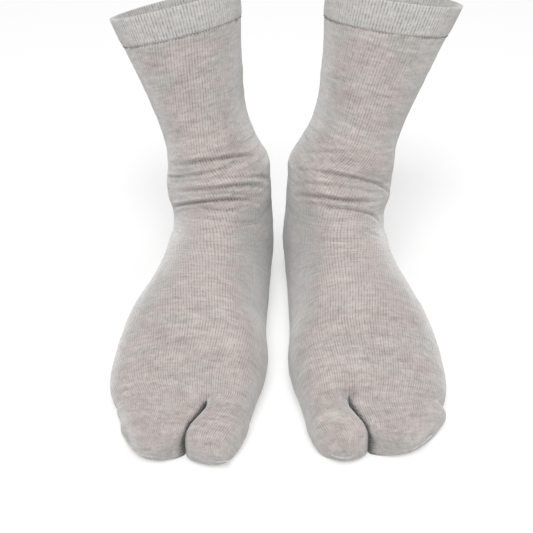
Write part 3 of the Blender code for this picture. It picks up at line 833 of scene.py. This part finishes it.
    def section_loop(self, row: np.ndarray) -> Loop:
        """A section's closed curve: front, outer side, back, inner side."""
        centre, front, back, medial, lateral = row[:15].reshape(5, 3)
        angle = np.arange(4 * self.samples) * math.pi / (2 * self.samples)
        c, s = np.cos(angle)[:, None], np.sin(angle)[:, None]
        power = 2 / np.where(c > 0, row[15], row[16])
        points = (centre + (np.where(c > 0, front, back) - centre) * abs(c) ** power
                  + (np.where(s > 0, lateral, medial) - centre) * abs(s) ** power)
        points[:, 0] += row[17] * c[:, 0] ** 2
        return Loop(points)

    def tube_ring(self, row: np.ndarray) -> np.ndarray:
        """A section's ring: from the cleft line round the outer side, then the inner."""
        loop = self.section_loop(row)
        runs = loop.runs()
        whole, half = runs[-1], runs[2 * self.samples]
        big = whole * self.big_toe_share
        spare = (whole - half - big) / 2
        outer = loop.spaced(-spare, whole - big, self.toes_points + 1)
        inner = loop.spaced(half + spare, big, self.ball_points + 1)
        return np.vstack([outer[:-1], inner[:-1]])

    def toe_loop(self, ring: ToeRing, cleft_square: float) -> Loop:
        """A toe ring's closed curve: from its top round the far side and back by the cleft."""
        near, far = np.array([ring.near_x, ring.near_y]), np.array([ring.far_x, ring.far_y])
        angle = np.arange(4 * self.samples) * math.pi / (2 * self.samples)
        c, s = np.cos(angle), np.sin(angle)
        power = 2 / (ring.squareness + np.where(s < -1e-9, cleft_square, 0.0))
        across, height = np.sign(s) * abs(s) ** power, np.sign(c) * abs(c) ** power
        share = (across + 1) / 2
        top = ring.near_top + (ring.far_top - ring.near_top) * share
        low = ring.bottom - (self.sole_press if ring.bottom == 0 else 0.0)
        belly = low + (top - low) * self.toe_belly
        z = belly + np.where(height > 0, top - belly, belly - low) * height
        plan = near + (far - near) * share[:, None]
        plan[:, 1] -= ring.bow * (1 - across**2)
        return Loop(np.column_stack([plan, z]))

    def toe_ring(self, ring: ToeRing, points: int, cleft_share: float,
                 cleft_square: float) -> np.ndarray:
        """A toe ring's points round its far side and then up the wall at the cleft."""
        loop = self.toe_loop(ring, cleft_square)
        runs = loop.runs()
        cleft = cleft_share * runs[-1]
        start = runs[3 * self.samples] + cleft / 2
        far = loop.spaced(start, runs[-1] - cleft, points + 1)
        wall = loop.spaced(start + runs[-1] - cleft, cleft, self.cleft_count + 2)
        return np.vstack([far, wall[1:-1]])

    # cloth

    def tube(self) -> tuple[np.ndarray, np.ndarray, np.ndarray]:
        """The rings from the cuff's seam to the toes' split, and the key and all places."""
        rows = np.array([*map(self.leg_section, LEG_RINGS), *map(self.foot_section, FOOT_RINGS)])
        rows[-2:, 12] += np.array(self.spread_shares) * self.spread
        steps = np.linalg.norm(np.diff(rows[:, 3:6], axis=0), axis=1)
        steps += np.linalg.norm(np.diff(rows[:, 6:9], axis=0), axis=1)
        places = np.concatenate([[0.0], np.cumsum(steps / 2)])
        at = spread_places(places, SPANS)
        rings = np.array([self.tube_ring(hermite(places, rows, place)) for place in at])
        return rings, places, at

    def crease_at(self, place: Place, run: float,
                  around: np.ndarray) -> tuple[np.ndarray, np.ndarray]:
        """What the creases of one line do at places on a ring.

        Args:
            place: the line that the creases are measured from.
            run: how far down the line the ring lies.
            around: how far round the ring each place lies from the line.

        Returns:
            How far the cloth is drawn in, and its painted shade, below 0 where a highlight is
            painted on a ridge.
        """
        depth, painted_shade = np.zeros_like(around), np.zeros_like(around)
        for crease in CREASES[self.side]:
            if crease.place is not place:
                continue
            along = (around - crease.around) / crease.half_length
            middle = crease.run + crease.slope * (around - crease.around)
            across = (run - middle - crease.bend * along**2) / (
                crease.width * self.crease_narrowing)
            reach = np.exp(-(along**4))
            trough = np.exp(-(across**2)) * reach
            ridges = (np.exp(-((across - self.ridge_lead) ** 2))
                      + np.exp(-((across + self.ridge_lead) ** 2))) * reach
            depth += self.crease_gain * crease.depth * (trough - self.ridge_share * ridges)
            # painted shade in the trough, and painted highlight on the ridges beside it
            painted_shade += self.crease_gain * min(1.0, crease.depth / self.deep_crease) * (
                trough - self.ridge_highlight * ridges)
        return depth, painted_shade

    def creased(self, rings: np.ndarray, inward: np.ndarray) -> tuple[np.ndarray, np.ndarray]:
        """The rings with their creases, and the painted shade and highlight at each of their
        points.
        """
        moved, crease_shade = rings.copy(), np.zeros(rings.shape[:2])
        for place, column in ((FRONT, self.front_column), (BACK, self.back_column)):
            line = np.linalg.norm(np.diff(rings[:, column], axis=0), axis=1)
            runs = np.concatenate([[0.0], np.cumsum(line)])
            for k, ring in enumerate(rings):
                around = np.cumsum(np.linalg.norm(ring - np.roll(ring, 1, axis=0), axis=1))
                whole = around[-1]
                around = (around - around[column] + whole / 2) % whole - whole / 2
                depth, painted_shade = self.crease_at(place, runs[k], around)
                moved[k] += inward[k] * depth[:, None]
                crease_shade[k] += painted_shade
        return moved, crease_shade

    def wale(self, column: np.ndarray, shift: np.ndarray, slack: np.ndarray) -> np.ndarray:
        """The wale at places round a ring.

        Args:
            column: places round the ring, counted in points from the back line.
            shift: how many wales the ring is twisted by.
            slack: how much further apart its wales stand in front than behind.

        Returns:
            The wales.
        """
        angle = (column - self.front_column - self.back_column) * math.tau / self.around
        return (column * WALES / self.around + shift
                - slack * WALES / math.tau * np.sin(angle))

    def knit_plan(self, places: np.ndarray,
                  at: np.ndarray) -> tuple[np.ndarray, np.ndarray, np.ndarray]:
        """How the knit lies on each ring of the tube.

        Args:
            places: the key rings' places down the tube.
            at: every ring's place.

        Returns:
            Each ring's twist in wales, the slack in front of it, and how crumpled it is.
        """
        cuff, ankle, ball = places[0], places[ANKLE], places[BALL]
        shift = np.interp(at, (cuff, ankle, ball), (0.0, self.twist[0], sum(self.twist)))
        crumpled = (np.clip((at - places[FOLDS_TOP]) / self.fold_run, 0, 1)
                    * np.clip((places[FOLDS_END] - at) / self.fold_run, 0, 1))
        shift += self.dash_lean * ((at / self.dash_pitch) % 1.0 - 0.5) * crumpled
        keys = (cuff, places[LEG_NARROW], ankle, places[INSTEP], ball)
        slack = np.interp(at, keys, self.slack)
        return shift, slack, crumpled

    def unevenness(self, points: np.ndarray) -> np.ndarray:
        """Slight rises and hollows of the cloth, drawn out across the leg and foot."""
        broad_scale, broad_height = self.broad_wave
        across, along, up, drawn_height = self.drawn_wave

        def wave(point: np.ndarray) -> float:
            """The rise at one point."""
            place = Vector(point)
            broad = noise.noise(place * broad_scale + Vector((self.seed, 0.0, 0.0)))
            drawn = noise.noise(Vector((place.x * across, place.y * along,
                                        place.z * up + self.seed)))
            return broad * broad_height + drawn * drawn_height

        return np.array([[wave(point) for point in row] for row in points])

    def warmth(self, outward: np.ndarray) -> np.ndarray:
        """How warm the grey is: most where the cloth is stretched over the front and top."""
        towards = outward @ np.array(self.warm_side)
        facing = np.clip((towards + self.warm_start) / (1 - self.warm_start), 0.0, 1.0)
        return facing**self.warm_power

    def build_tube(self) -> tuple[Cloth, np.ndarray]:
        """Makes the leg, heel and foot.

        Returns:
            The cloth, starting and ending at the back line, and its fourth last and last rings.
        """
        rings, keys, places = self.tube()
        order = np.r_[self.back_column:self.around, 0:self.back_column + 1]
        shape = (len(rings), self.around + 1)
        shift, slack, crumpled = self.knit_plan(keys, places)
        self.root_plan = (shift[-1], slack[-1])
        wales = self.wale(np.arange(shape[1])[None, :], shift[:, None], slack[:, None])
        courses = np.broadcast_to((places / COURSE)[:, None], shape)
        cloth = Cloth(rings[:, order], wales, courses, np.zeros(shape), np.zeros(shape))
        outward = cloth.outward()
        unrolled = np.empty_like(rings)
        unrolled[:, order[:-1]] = outward[:, :-1]
        moved, crease_shade = self.creased(rings, -unrolled)
        # painted shade of the creases and of the crumpled ankle; the ridges' painted highlight
        # also cools their grey
        cloth.painted_shade = crease_shade[:, order] + self.crumple_shade * crumpled[:, None]
        cloth.warmth = self.warmth(outward) + self.ridge_pale * np.minimum(cloth.painted_shade, 0.0)
        above, below = self.even_rings
        fade = np.clip((len(rings) - 1 - np.arange(len(rings))) / below, 0.0, 1.0)
        fade *= np.clip(np.arange(len(rings)) / above, 0.0, 1.0)
        moved += unrolled * (self.unevenness(rings) * fade[:, None])[:, :, None]
        lead = np.exp(-((moved[-1][:, 0] - moved[-1][0, 0]) / self.cleft_width) ** 2)
        for back, share in enumerate(self.cleft_shares, 1):
            moved[-back][:, 1] -= self.cleft_reach * lead * share
        cloth.points = moved[:, order]
        return cloth, np.array([moved[-4], moved[-1]])

    def build_pocket(self, edge: np.ndarray, foot: Cloth, rings: tuple[ToeRing, ...],
                     big: bool) -> Cloth:
        """Makes one toe pocket, closed by the seam across its end.

        Args:
            edge: the foot's fourth last and last rings, which the pocket runs on from.
            foot: the cloth that it runs on from.
            rings: its sections.
            big: whether it is the big toe's.

        Returns:
            The pocket's cloth.
        """
        places, keys = self.pocket_keys(edge, rings, big)
        at = spread_places(places[1:], POCKET_SPANS)
        rows = [keys[1], *(hermite(places, keys, place) for place in at[1:])]
        near = self.far_points(big) + (self.cleft_count + 1) // 2
        rows = self.close_end(rows, near)
        at = np.concatenate([at, at[-1] + np.array(self.seam_runs)])
        shape = rows.shape[:2]
        courses = np.broadcast_to((foot.courses[-1, 0] + (at - at[0]) / COURSE)[:, None], shape)
        cloth = Cloth(rows, self.pocket_wales(shape[1], at, big), courses, np.zeros(shape),
                      np.zeros(shape))
        tip = np.clip((at[-1] - at - self.tip_start) / self.tip_run, 0.0, 1.0)[:, None]
        cloth.warmth = self.warmth(cloth.outward()) * tip
        # painted shade in the cleft and painted light towards the seam
        cloth.painted_shade = self.pocket_shade(rows, at[-1] - at, near)
        return cloth

    def far_points(self, big: bool) -> int:
        """How many points go round a pocket's far side."""
        return self.ball_points if big else self.toes_points

    def pocket_keys(self, edge: np.ndarray, rings: tuple[ToeRing, ...],
                    big: bool) -> tuple[np.ndarray, np.ndarray]:
        """The sections that a toe pocket is drawn through.

        Args:
            edge: the foot's fourth last and last rings.
            rings: the pocket's sections.
            big: whether it is the big toe's.

        Returns:
            Each section's place along the pocket, and its points. The first lies in the foot,
            and the second is the pocket's root.
        """
        points = self.far_points(big)
        share = self.big_toe_cleft if big else self.other_toes_cleft
        columns = np.r_[self.toes_points:self.around, 0] if big else np.arange(points + 1)
        top, bottom = edge[1][0], edge[1][self.toes_points]
        down = np.linspace(0.0, 1.0, self.cleft_count + 2)[1:-1, None]
        cleft = top + (bottom - top) * down
        cleft[:, 1] -= self.cleft_lead * np.sin(math.pi * down[:, 0])
        square = self.cleft_squareness[big]
        keys = [self.toe_ring(ring, points, share, square) for ring in rings]
        if big:
            keys = [np.vstack([key[:points + 1][::-1], key[points + 1:][::-1]]) for key in keys]
        else:
            cleft = cleft[::-1]
        root = np.vstack([edge[1][columns], cleft])
        step = np.linalg.norm(edge[1] - edge[0], axis=1).mean()
        ahead = (keys[0] - root) / np.linalg.norm(keys[0] - root, axis=1).mean() * step
        before = np.vstack([edge[0][columns], (root - ahead)[points + 1:]])
        keys = np.array([before, root, *keys])
        steps = np.linalg.norm(np.diff(keys, axis=0), axis=2).mean(axis=1)
        return np.concatenate([[0.0], np.cumsum(steps)]), keys

    def close_end(self, rows: list[np.ndarray], near: int) -> np.ndarray:
        """Closes a toe pocket along the seam across its end, and keeps the seam's line.

        Args:
            rows: the pocket's rings.
            near: the column in the middle of the cleft's wall.

        Returns:
            All rings to the seam, each closed on itself.
        """
        last, count = rows[-1], len(rows[-1])
        mirror = (2 * near - np.arange(count)) % count
        middle = (last + last[mirror]) / 2
        forward = (last - rows[-3]).mean(axis=0) * np.array([1.0, 1.0, 0.0])
        forward /= np.linalg.norm(forward)
        turned = [middle + (last - middle) * math.cos(angle)
                  + forward * self.seam_bulge * math.sin(angle) for angle in self.seam_turns]
        line = np.array([turned[-1][(near + k) % count] for k in range(count // 2 + 1)])
        self.toe_seams.append((line, forward))
        closed = np.array([*rows, *turned])
        return np.concatenate([closed, closed[:, :1]], axis=1)

    def pocket_wales(self, columns: int, at: np.ndarray, big: bool) -> np.ndarray:
        """The wales of a toe pocket, which draw together towards its seam.

        Args:
            columns: how many points its rings have.
            at: each ring's place along the pocket.
            big: whether it is the big toe's.

        Returns:
            The wale of each point.
        """
        first = (self.toes_points if big else self.around) - self.back_column
        shift, slack = self.root_plan
        wales = self.wale(first + np.arange(columns), shift, slack)
        middle = self.wale(first + self.far_points(big) / 2, shift, slack)
        share = ((at - at[0]) / (at[-1] - at[0]))[:, None]
        return middle + (wales - middle) * (1 - self.pocket_narrowing * share)

    def pocket_shade(self, rows: np.ndarray, left: np.ndarray, near: int) -> np.ndarray:
        """The painted shade of a toe pocket: dark deep in the cleft, and painted light at its
        seam.

        Args:
            rows: the pocket's points.
            left: the distance of each ring from the seam.
            near: the column in the middle of the cleft's wall.

        Returns:
            The painted shade of each point, below 0 where light is painted.
        """
        column = np.arange(rows.shape[1])
        beside = np.minimum(abs(column - near), rows.shape[1] - 1 - abs(column - near))
        wall = np.clip(self.cleft_count / 2 + self.cleft_margin - beside, 0.0,
                       self.cleft_fade) / self.cleft_fade
        # painted shade on the cleft's walls, more where they sink below the pocket's top
        sunk = rows[:, :, 2].max(axis=1, keepdims=True) - rows[:, :, 2]
        deep = np.clip((sunk - self.cleft_lip) / self.cleft_shade, 0.0, self.cleft_dark) * wall
        deep *= np.clip((left - self.cleft_end) / self.cleft_end, 0.0, 1.0)[:, None]
        # painted light that pales the pocket towards its seam
        pale = np.clip(self.tip_reach - left / self.tip_run, 0.0, 1.0)[:, None]
        return deep - self.tip_light * pale

    def place(self, mesh: bmesh.types.BMesh) -> None:
        """Turns the mesh to its foot's direction, stands it in its place and closes it up.

        Args:
            mesh: the mesh, in the foot's own frame.
        """
        bmesh.ops.rotate(mesh, cent=(0, 0, 0), verts=mesh.verts,
                         matrix=Matrix.Rotation(math.radians(self.toe_out), 3, "Z"))
        bmesh.ops.translate(mesh, verts=mesh.verts, vec=(self.heel_x, self.heel_y, 0))
        bmesh.ops.scale(mesh, verts=mesh.verts, vec=(self.side.value, 1, 1))
        bmesh.ops.translate(mesh, verts=mesh.verts,
                            vec=(-self.pair_centre[0], -self.pair_centre[1], 0))
        for vert in mesh.verts:
            vert.co.z = max(vert.co.z, 0.0)
        bmesh.ops.remove_doubles(mesh, verts=mesh.verts, dist=1e-6)
        bmesh.ops.recalc_face_normals(mesh, faces=mesh.faces)

    def finished(self, mesh: bmesh.types.BMesh, name: str, look: bpy.types.Material,
                 slot: str, *nodes: str) -> bpy.types.Object:
        """Makes an object of a mesh and fits it to the frame.

        Args:
            mesh: the finished mesh, which is freed.
            name: the piece's name.
            look: its material.
            slot: the record's material slot. Not used.
            nodes: the CAD nodes that it stands for.

        Returns:
            The piece.
        """
        data = bpy.data.meshes.new(name)
        mesh.to_mesh(data)
        mesh.free()
        data.materials.append(look)
        data.shade_smooth()
        made = place_object(name, data)
        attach(made, "root")
        if nodes:
            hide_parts(*nodes)
        LOG.info("%s: %d faces", name, len(data.polygons))
        return made

    def shade_gap(self, mesh: bmesh.types.BMesh) -> None:
        """Paints shadow on the edge of the sock's inner side where the other sock is close.

        Args:
            mesh: the placed mesh.
        """
        painted_shade = mesh.verts.layers.float["painted_shade"]
        for vert in mesh.verts:
            inward = -self.side.value * vert.normal.x
            facing = min(1.0, max(0.0, (inward - self.gap_facing) / (1 - self.gap_facing)))
            near = 1 - (abs(vert.co.x - self.gap_middle) - self.gap_near) / self.gap_fade
            # painted shadow on the inner side where it faces the other sock
            vert[painted_shade] += self.gap_dark * facing * min(1.0, max(0.0, near))

    def build_wall(self, look: bpy.types.Material) -> bpy.types.Object:
        """Makes the knitted shell of leg, heel, foot and both toe pockets.

        Args:
            look: its material.

        Returns:
            The piece.
        """
        tube, edge = self.build_tube()
        mesh = bmesh.new()
        tube.add_to(mesh)
        self.build_pocket(edge, tube, OTHER_TOES_RINGS[self.side], False).add_to(mesh)
        self.build_pocket(edge, tube, BIG_TOE_RINGS[self.side], True).add_to(mesh)
        bmesh.ops.remove_doubles(mesh, verts=mesh.verts, dist=1e-6)
        self.shape_toes(mesh, Vector(edge[1][0]))
        self.place(mesh)
        self.shade_gap(mesh)
        made = self.finished(mesh, f"knit_{self.name}", look, "heather_knit",
                             f"sock_{self.name}")
        wall = made.modifiers.new("wall", "SOLIDIFY")
        wall.thickness = self.wall
        wall.offset = -1.0
        return made

    def shape_toes(self, mesh: bmesh.types.BMesh, crotch: Vector) -> None:
        """Sinks the cleft's root and paints shade into it, and draws the foot's inner edge in or
        out.

        Args:
            mesh: the mesh, in the foot's own frame.
            crotch: the top of the cleft's root.
        """
        painted_shade = mesh.verts.layers.float["painted_shade"]
        soft = [vert for vert in mesh.verts if (vert.co - crotch).length < self.crotch_radius]
        middle = crotch - Vector((0.0, self.dimple_lead, 0.0))
        for vert in mesh.verts:
            near = math.exp(-((vert.co - crotch).length / self.dimple_radius) ** 2)
            vert.co.z -= self.dimple_depth * near
            # painted shade in the hollow at the cleft's root
            vert[painted_shade] = max(vert[painted_shade], self.cleft_dark * math.exp(
                -((vert.co - middle).length / self.dimple_radius) ** 2))
            for x, y, size in (self.pinch, self.ear):
                beside = math.hypot(vert.co.x - x, vert.co.y - y) / self.bump_radius
                vert.co.x += size * math.exp(-beside * beside)
        for _ in range(self.crotch_rounds):
            bmesh.ops.smooth_vert(mesh, verts=soft, factor=self.crotch_factor,
                                  use_axis_x=True, use_axis_y=True, use_axis_z=True)


@dataclass
class Cuff:
    """The ribbed cuff of one sock, knitted double and folded over at its top."""

    sock: Sock
    height: float = 0.0190
    wall: float = 0.0016
    relief: float = 0.0006
    gap: float = 0.0
    per_rib: int = 6
    rise_rings: int = 13
    fold_rings: int = 7
    root_relief: float = 0.35
    relief_climb: float = 2.6
    inner_relief: float = 0.25
    rib_power: float = 1.3
    stand_out: float = 0.0003
    draw_in: float = 0.0004
    draw_share: float = 0.055

    def profile(self) -> list[tuple[float, float, float]]:
        """The cuff's closed section: place up it, offset outwards, and share of rib relief."""
        rise = np.linspace(0.0, 1.0, self.rise_rings)
        low, high = self.gap, self.height - self.wall / 2
        rows = [(low + (high - low) * t, self.belly(t),
                 min(1.0, self.root_relief + self.relief_climb * t)) for t in rise]
        for angle in np.linspace(0.0, math.pi, self.fold_rings)[1:-1]:
            rows.append((high + self.wall / 2 * math.sin(angle),
                         -self.wall / 2 * (1 - math.cos(angle)), 0.5 + 0.5 * math.cos(angle)))
        for t in np.linspace(1.0, 0.0, self.fold_rings):
            rows.append((low + (high - low) * t, -self.wall, self.inner_relief))
        return rows

    def belly(self, share: float) -> float:
        """How far the cuff's face stands out: drawn in where it is sewn to the leg."""
        seam = self.draw_in * math.exp(-((share / self.draw_share) ** 2))
        return self.stand_out - seam - self.stand_out * share

    def ring(self, place: float, offset: float, relief: float) -> np.ndarray:
        """A ring of the cuff with its ribs, closed on itself.

        Args:
            place: height above the seam, measured up the leg.
            offset: how far the ring stands out of the leg's line.
            relief: share of the ribs' relief.

        Returns:
            The ring's points.
        """
        seam = self.sock.leg_section(LEG_RINGS[0])
        top = self.sock.leg_section(CUFF_TOP)
        row = seam + (top - seam) * place / self.height
        loop = self.sock.section_loop(row)
        count = RIBS * self.per_rib
        points = loop.spaced(0.0, loop.runs()[-1], count + 1)
        outward = points - row[:3]
        outward /= np.linalg.norm(outward, axis=1)[:, None]
        phase = np.arange(count + 1) / self.per_rib * math.tau
        ribs = np.abs(np.cos(phase / 2)) ** self.rib_power
        return points + outward * (offset + relief * self.relief * ribs)[:, None]

    def build(self, look: bpy.types.Material) -> bpy.types.Object:
        """Makes the cuff.

        Args:
            look: its material.

        Returns:
            The piece.
        """
        rows = [self.ring(*place) for place in self.profile()]
        rows.append(rows[0])
        points = np.array(rows)
        shape = points.shape[:2]
        run = np.cumsum([0.0, *np.linalg.norm(np.diff(points[:, 0], axis=0), axis=1)])
        wales = np.broadcast_to(np.arange(shape[1]) / self.per_rib + 0.5, shape)
        courses = np.broadcast_to((run / COURSE)[:, None], shape)
        cloth = Cloth(points, wales, courses, np.zeros(shape), np.zeros(shape))
        mesh = bmesh.new()
        cloth.add_to(mesh)
        bmesh.ops.remove_doubles(mesh, verts=mesh.verts, dist=1e-7)
        self.sock.place(mesh)
        return self.sock.finished(mesh, f"ribs_{self.sock.name}", look, "cuff_rib",
                                  f"cuff_{self.sock.name}")


@dataclass
class SeamStitches:
    """The row of short slanting stitches where a cuff is joined to its leg."""

    sock: Sock
    length: float = 0.0014
    girth: float = 0.00036
    slant: float = 0.75
    least: float = 0.62
    usual: float = 0.95
    vary: float = 1.10
    unlike: float = 0.37
    below: float = 0.0001
    proud: float = 0.00005

    def build(self, look: bpy.types.Material) -> bpy.types.Object:
        """Makes the stitches.

        Args:
            look: their material.

        Returns:
            The piece.
        """
        section = self.sock.leg_section(LEG_RINGS[0])
        up = self.sock.leg_frame()[0]
        loop = self.sock.section_loop(section)
        points = loop.spaced(0.0, loop.runs()[-1], RIBS + 1)
        mesh = bmesh.new()
        for k in range(RIBS):
            chance = noise.noise(Vector((k * self.unlike, self.sock.seed, 0.0)))
            size = self.usual + self.vary * chance
            if size < self.least:
                continue
            along = points[(k + 1) % RIBS] - points[k - 1]
            along /= np.linalg.norm(along)
            out = np.cross(along, up)
            out *= np.sign(out.dot(points[k] - section[:3]))
            lean = along * math.cos(self.slant) + up * math.sin(self.slant)
            side = np.cross(out, lean)
            made = bmesh.ops.create_uvsphere(mesh, u_segments=6, v_segments=5, radius=1.0)
            turn = Matrix((lean * self.length / 2 * size, out * self.girth * size,
                           side * self.girth * size))
            turn = turn.transposed().to_4x4()
            turn.translation = Vector(points[k] - up * self.below + out * self.proud)
            bmesh.ops.transform(mesh, matrix=turn, verts=made["verts"])
        self.sock.place(mesh)
        return self.sock.finished(mesh, f"cuff_stitches_{self.sock.name}", look, "heather_knit")


@dataclass
class ToeSeams:
    """The linked seams that close the ends of a sock's two toe pockets."""

    sock: Sock
    radius: float = 0.00055
    pitch: float = 0.0013
    around: int = 8
    steps: int = 6
    swelling: float = 0.30
    end_run: float = 0.0012

    def build(self, look: bpy.types.Material) -> bpy.types.Object:
        """Makes both seams as one piece.

        Args:
            look: their material.

        Returns:
            The piece.
        """
        mesh = bmesh.new()
        for line, forward in self.sock.toe_seams:
            runs = np.concatenate([[0], np.cumsum(
                np.linalg.norm(np.diff(line, axis=0), axis=1))])
            count = int(runs[-1] / self.pitch * self.steps)
            at = np.linspace(0.0, runs[-1], count)
            path = np.stack([np.interp(at, runs, line[:, a]) for a in range(3)], axis=1)
            swell = 1 + self.swelling * np.cos(at / self.pitch * math.tau)
            ends = np.clip(np.minimum(at, runs[-1] - at) / self.end_run, 0.05, 1.0) ** 0.5
            self.rope(mesh, path, forward, self.radius * swell * ends)
        self.sock.place(mesh)
        return self.sock.finished(mesh, f"toe_seams_{self.sock.name}", look, "heather_knit")

    def rope(self, mesh: bmesh.types.BMesh, path: np.ndarray, forward: np.ndarray,
             radii: np.ndarray) -> None:
        """Adds a closed round rope of changing thickness.

        Args:
            mesh: the mesh that it joins.
            path: its middle line.
            forward: a direction square to the line, out of the toe.
            radii: its radius at each point of the line.
        """
        ring = bmesh.ops.create_circle(mesh, cap_ends=True, segments=self.around, radius=1.0)
        rim = ring["verts"]
        edges = list({edge for vert in rim for edge in vert.link_edges
                      if edge.other_vert(vert) in rim})
        for k, (point, radius) in enumerate(zip(path, radii)):
            along = path[min(k + 1, len(path) - 1)] - path[max(k - 1, 0)]
            along /= np.linalg.norm(along)
            up = np.cross(along, forward)
            if k:
                made = bmesh.ops.extrude_edge_only(mesh, edges=edges)["geom"]
                fresh = [part for part in made if isinstance(part, bmesh.types.BMVert)]
                known = set(fresh)
                rim = [next(edge.other_vert(vert) for edge in vert.link_edges
                            if edge.other_vert(vert) in known) for vert in rim]
                edges = [part for part in made if isinstance(part, bmesh.types.BMEdge)
                         and all(vert in known for vert in part.verts)]
            for j, vert in enumerate(rim):
                angle = j * math.tau / self.around
                vert.co = point + radius * (math.cos(angle) * forward + math.sin(angle) * up)
        bmesh.ops.contextual_create(mesh, geom=edges)


# --- studio -----------------------------------------------------------------------------


@dataclass(frozen=True)
class AreaLight:
    """A soft square lamp that looks at a point."""

    name: str
    place: tuple[float, float, float]
    size: float
    power: float
    colour: Colour = (1.0, 1.0, 1.0)
    target: tuple[float, float, float] = (0.0, 0.0, 0.05)

    def build(self) -> bpy.types.Object:
        """Makes the lamp.

        Returns:
            The lamp's object.
        """
        data = bpy.data.lights.new(self.name, "AREA")
        data.energy, data.size, data.color = self.power, self.size, self.colour
        made = place_object(self.name, data)
        made.location = self.place
        away = Vector(self.place) - Vector(self.target)
        made.rotation_euler = away.to_track_quat("Z", "Y").to_euler()
        return made


@dataclass(frozen=True)
class Studio:
    """The pale floor, the soft lights and the camera."""

    floor_drop: float = 0.0002
    floor_size: float = 4.0
    camera_place: tuple[float, float, float] = (-0.0127, -0.6028, 0.4769)
    camera_tilt: float = 55.0
    lens: float = 74.30
    ambient: float = 0.46
    lamps: tuple[AreaLight, ...] = (
        AreaLight("key", (-0.15, -1.65, 2.80), 1.3, 72.0),
        AreaLight("fill", (0.9, -0.6, 0.8), 1.0, 0.6),
        AreaLight("top", (0.0, 0.10, 1.4), 0.5, 2.6),
    )

    def build(self) -> None:
        """Makes the floor, world, lamps and camera."""
        mesh = bmesh.new()
        bmesh.ops.create_grid(mesh, x_segments=8, y_segments=8, size=self.floor_size)
        bmesh.ops.translate(mesh, verts=mesh.verts, vec=(0.0, 0.0, -self.floor_drop))
        data = bpy.data.meshes.new("floor")
        mesh.to_mesh(data)
        mesh.free()
        data.materials.append(FloorFinish().build())
        floor = place_object("floor", data)
        world = bpy.data.worlds.new("studio")
        bpy.context.scene.world = world
        world.use_nodes = True
        sky = world.node_tree.nodes["Background"]
        sky.inputs["Color"].default_value = (1.0, 1.0, 1.0, 1.0)
        sky.inputs["Strength"].default_value = self.ambient
        for lamp in self.lamps:
            lamp.build()
        lens = bpy.data.cameras.new("camera")
        lens.lens, lens.sensor_width, lens.clip_start = self.lens, 36.0, 0.01
        camera = place_object("camera", lens)
        camera.location = self.camera_place
        camera.rotation_euler = (math.radians(self.camera_tilt), 0.0, 0.0)
        bpy.context.scene.camera = camera
        bpy.context.scene.view_settings.view_transform = "Standard"


SOCKS = (
    Sock("right", Side.RIGHT, heel_x=0.0330, heel_y=0.1, toe_out=8.7, back_lean=14.7,
         side_lean=17.6, leg_x=-0.0035, cuff_roll=1.4, stretch=1.000, girth=0.985,
         cleft_reach=0.0026, spread=-0.0042, seed=3.1, twist=(-9.0, 10.0), crease_gain=1.10),
    Sock("left", Side.LEFT, heel_x=0.0367, heel_y=0.1, toe_out=7.4, back_lean=14.7,
         side_lean=19.0, leg_x=-0.0026, cuff_roll=9.0, stretch=1.045, girth=1.000,
         cleft_reach=-0.0026, spread=-0.0014, seed=8.6, twist=(2.0, 7.0), crease_gain=0.90,
         pinch=(0.0440, -0.1800, -0.0022), ear=(0.0440, -0.1880, 0.0006)),
)
FACE_GREY = (0.446, 0.396, 0.380)
SHADE_GREY = (0.428, 0.415, 0.393)
CUFF_GREY = (0.485, 0.472, 0.452)


def main() -> None:
    """Builds the studio and both socks, and reports each piece."""
    logging.basicConfig(level=logging.INFO, format="%(name)s: %(message)s")
    Studio().build()
    # the cuff's knit, with painted shade in its rib valleys
    rib = KnitFinish("cuff_rib_knit", CUFF_GREY, CUFF_GREY, 5.0, streak=0.6,
                     stitch_height=0.00020, wale_shade=0.36).build()
    # the cuff's stitch thread, its dark grey partly painted shade of the groove under the cuff's
    # hem
    thread_shade = ThreadFinish("cuff_thread_shade", (0.235, 0.23, 0.22)).build()
    linked = ThreadFinish("toe_linking", (0.47, 0.475, 0.45)).build()
    for sock in SOCKS:
        knit = KnitFinish(f"heather_knit_{sock.name}", FACE_GREY, SHADE_GREY, sock.seed)
        wall = sock.build_wall(knit.build())
        cuff = Cuff(sock).build(rib)
        stitches = SeamStitches(sock).build(thread_shade)
        seams = ToeSeams(sock).build(linked)


if __name__ == "__main__":
    main()
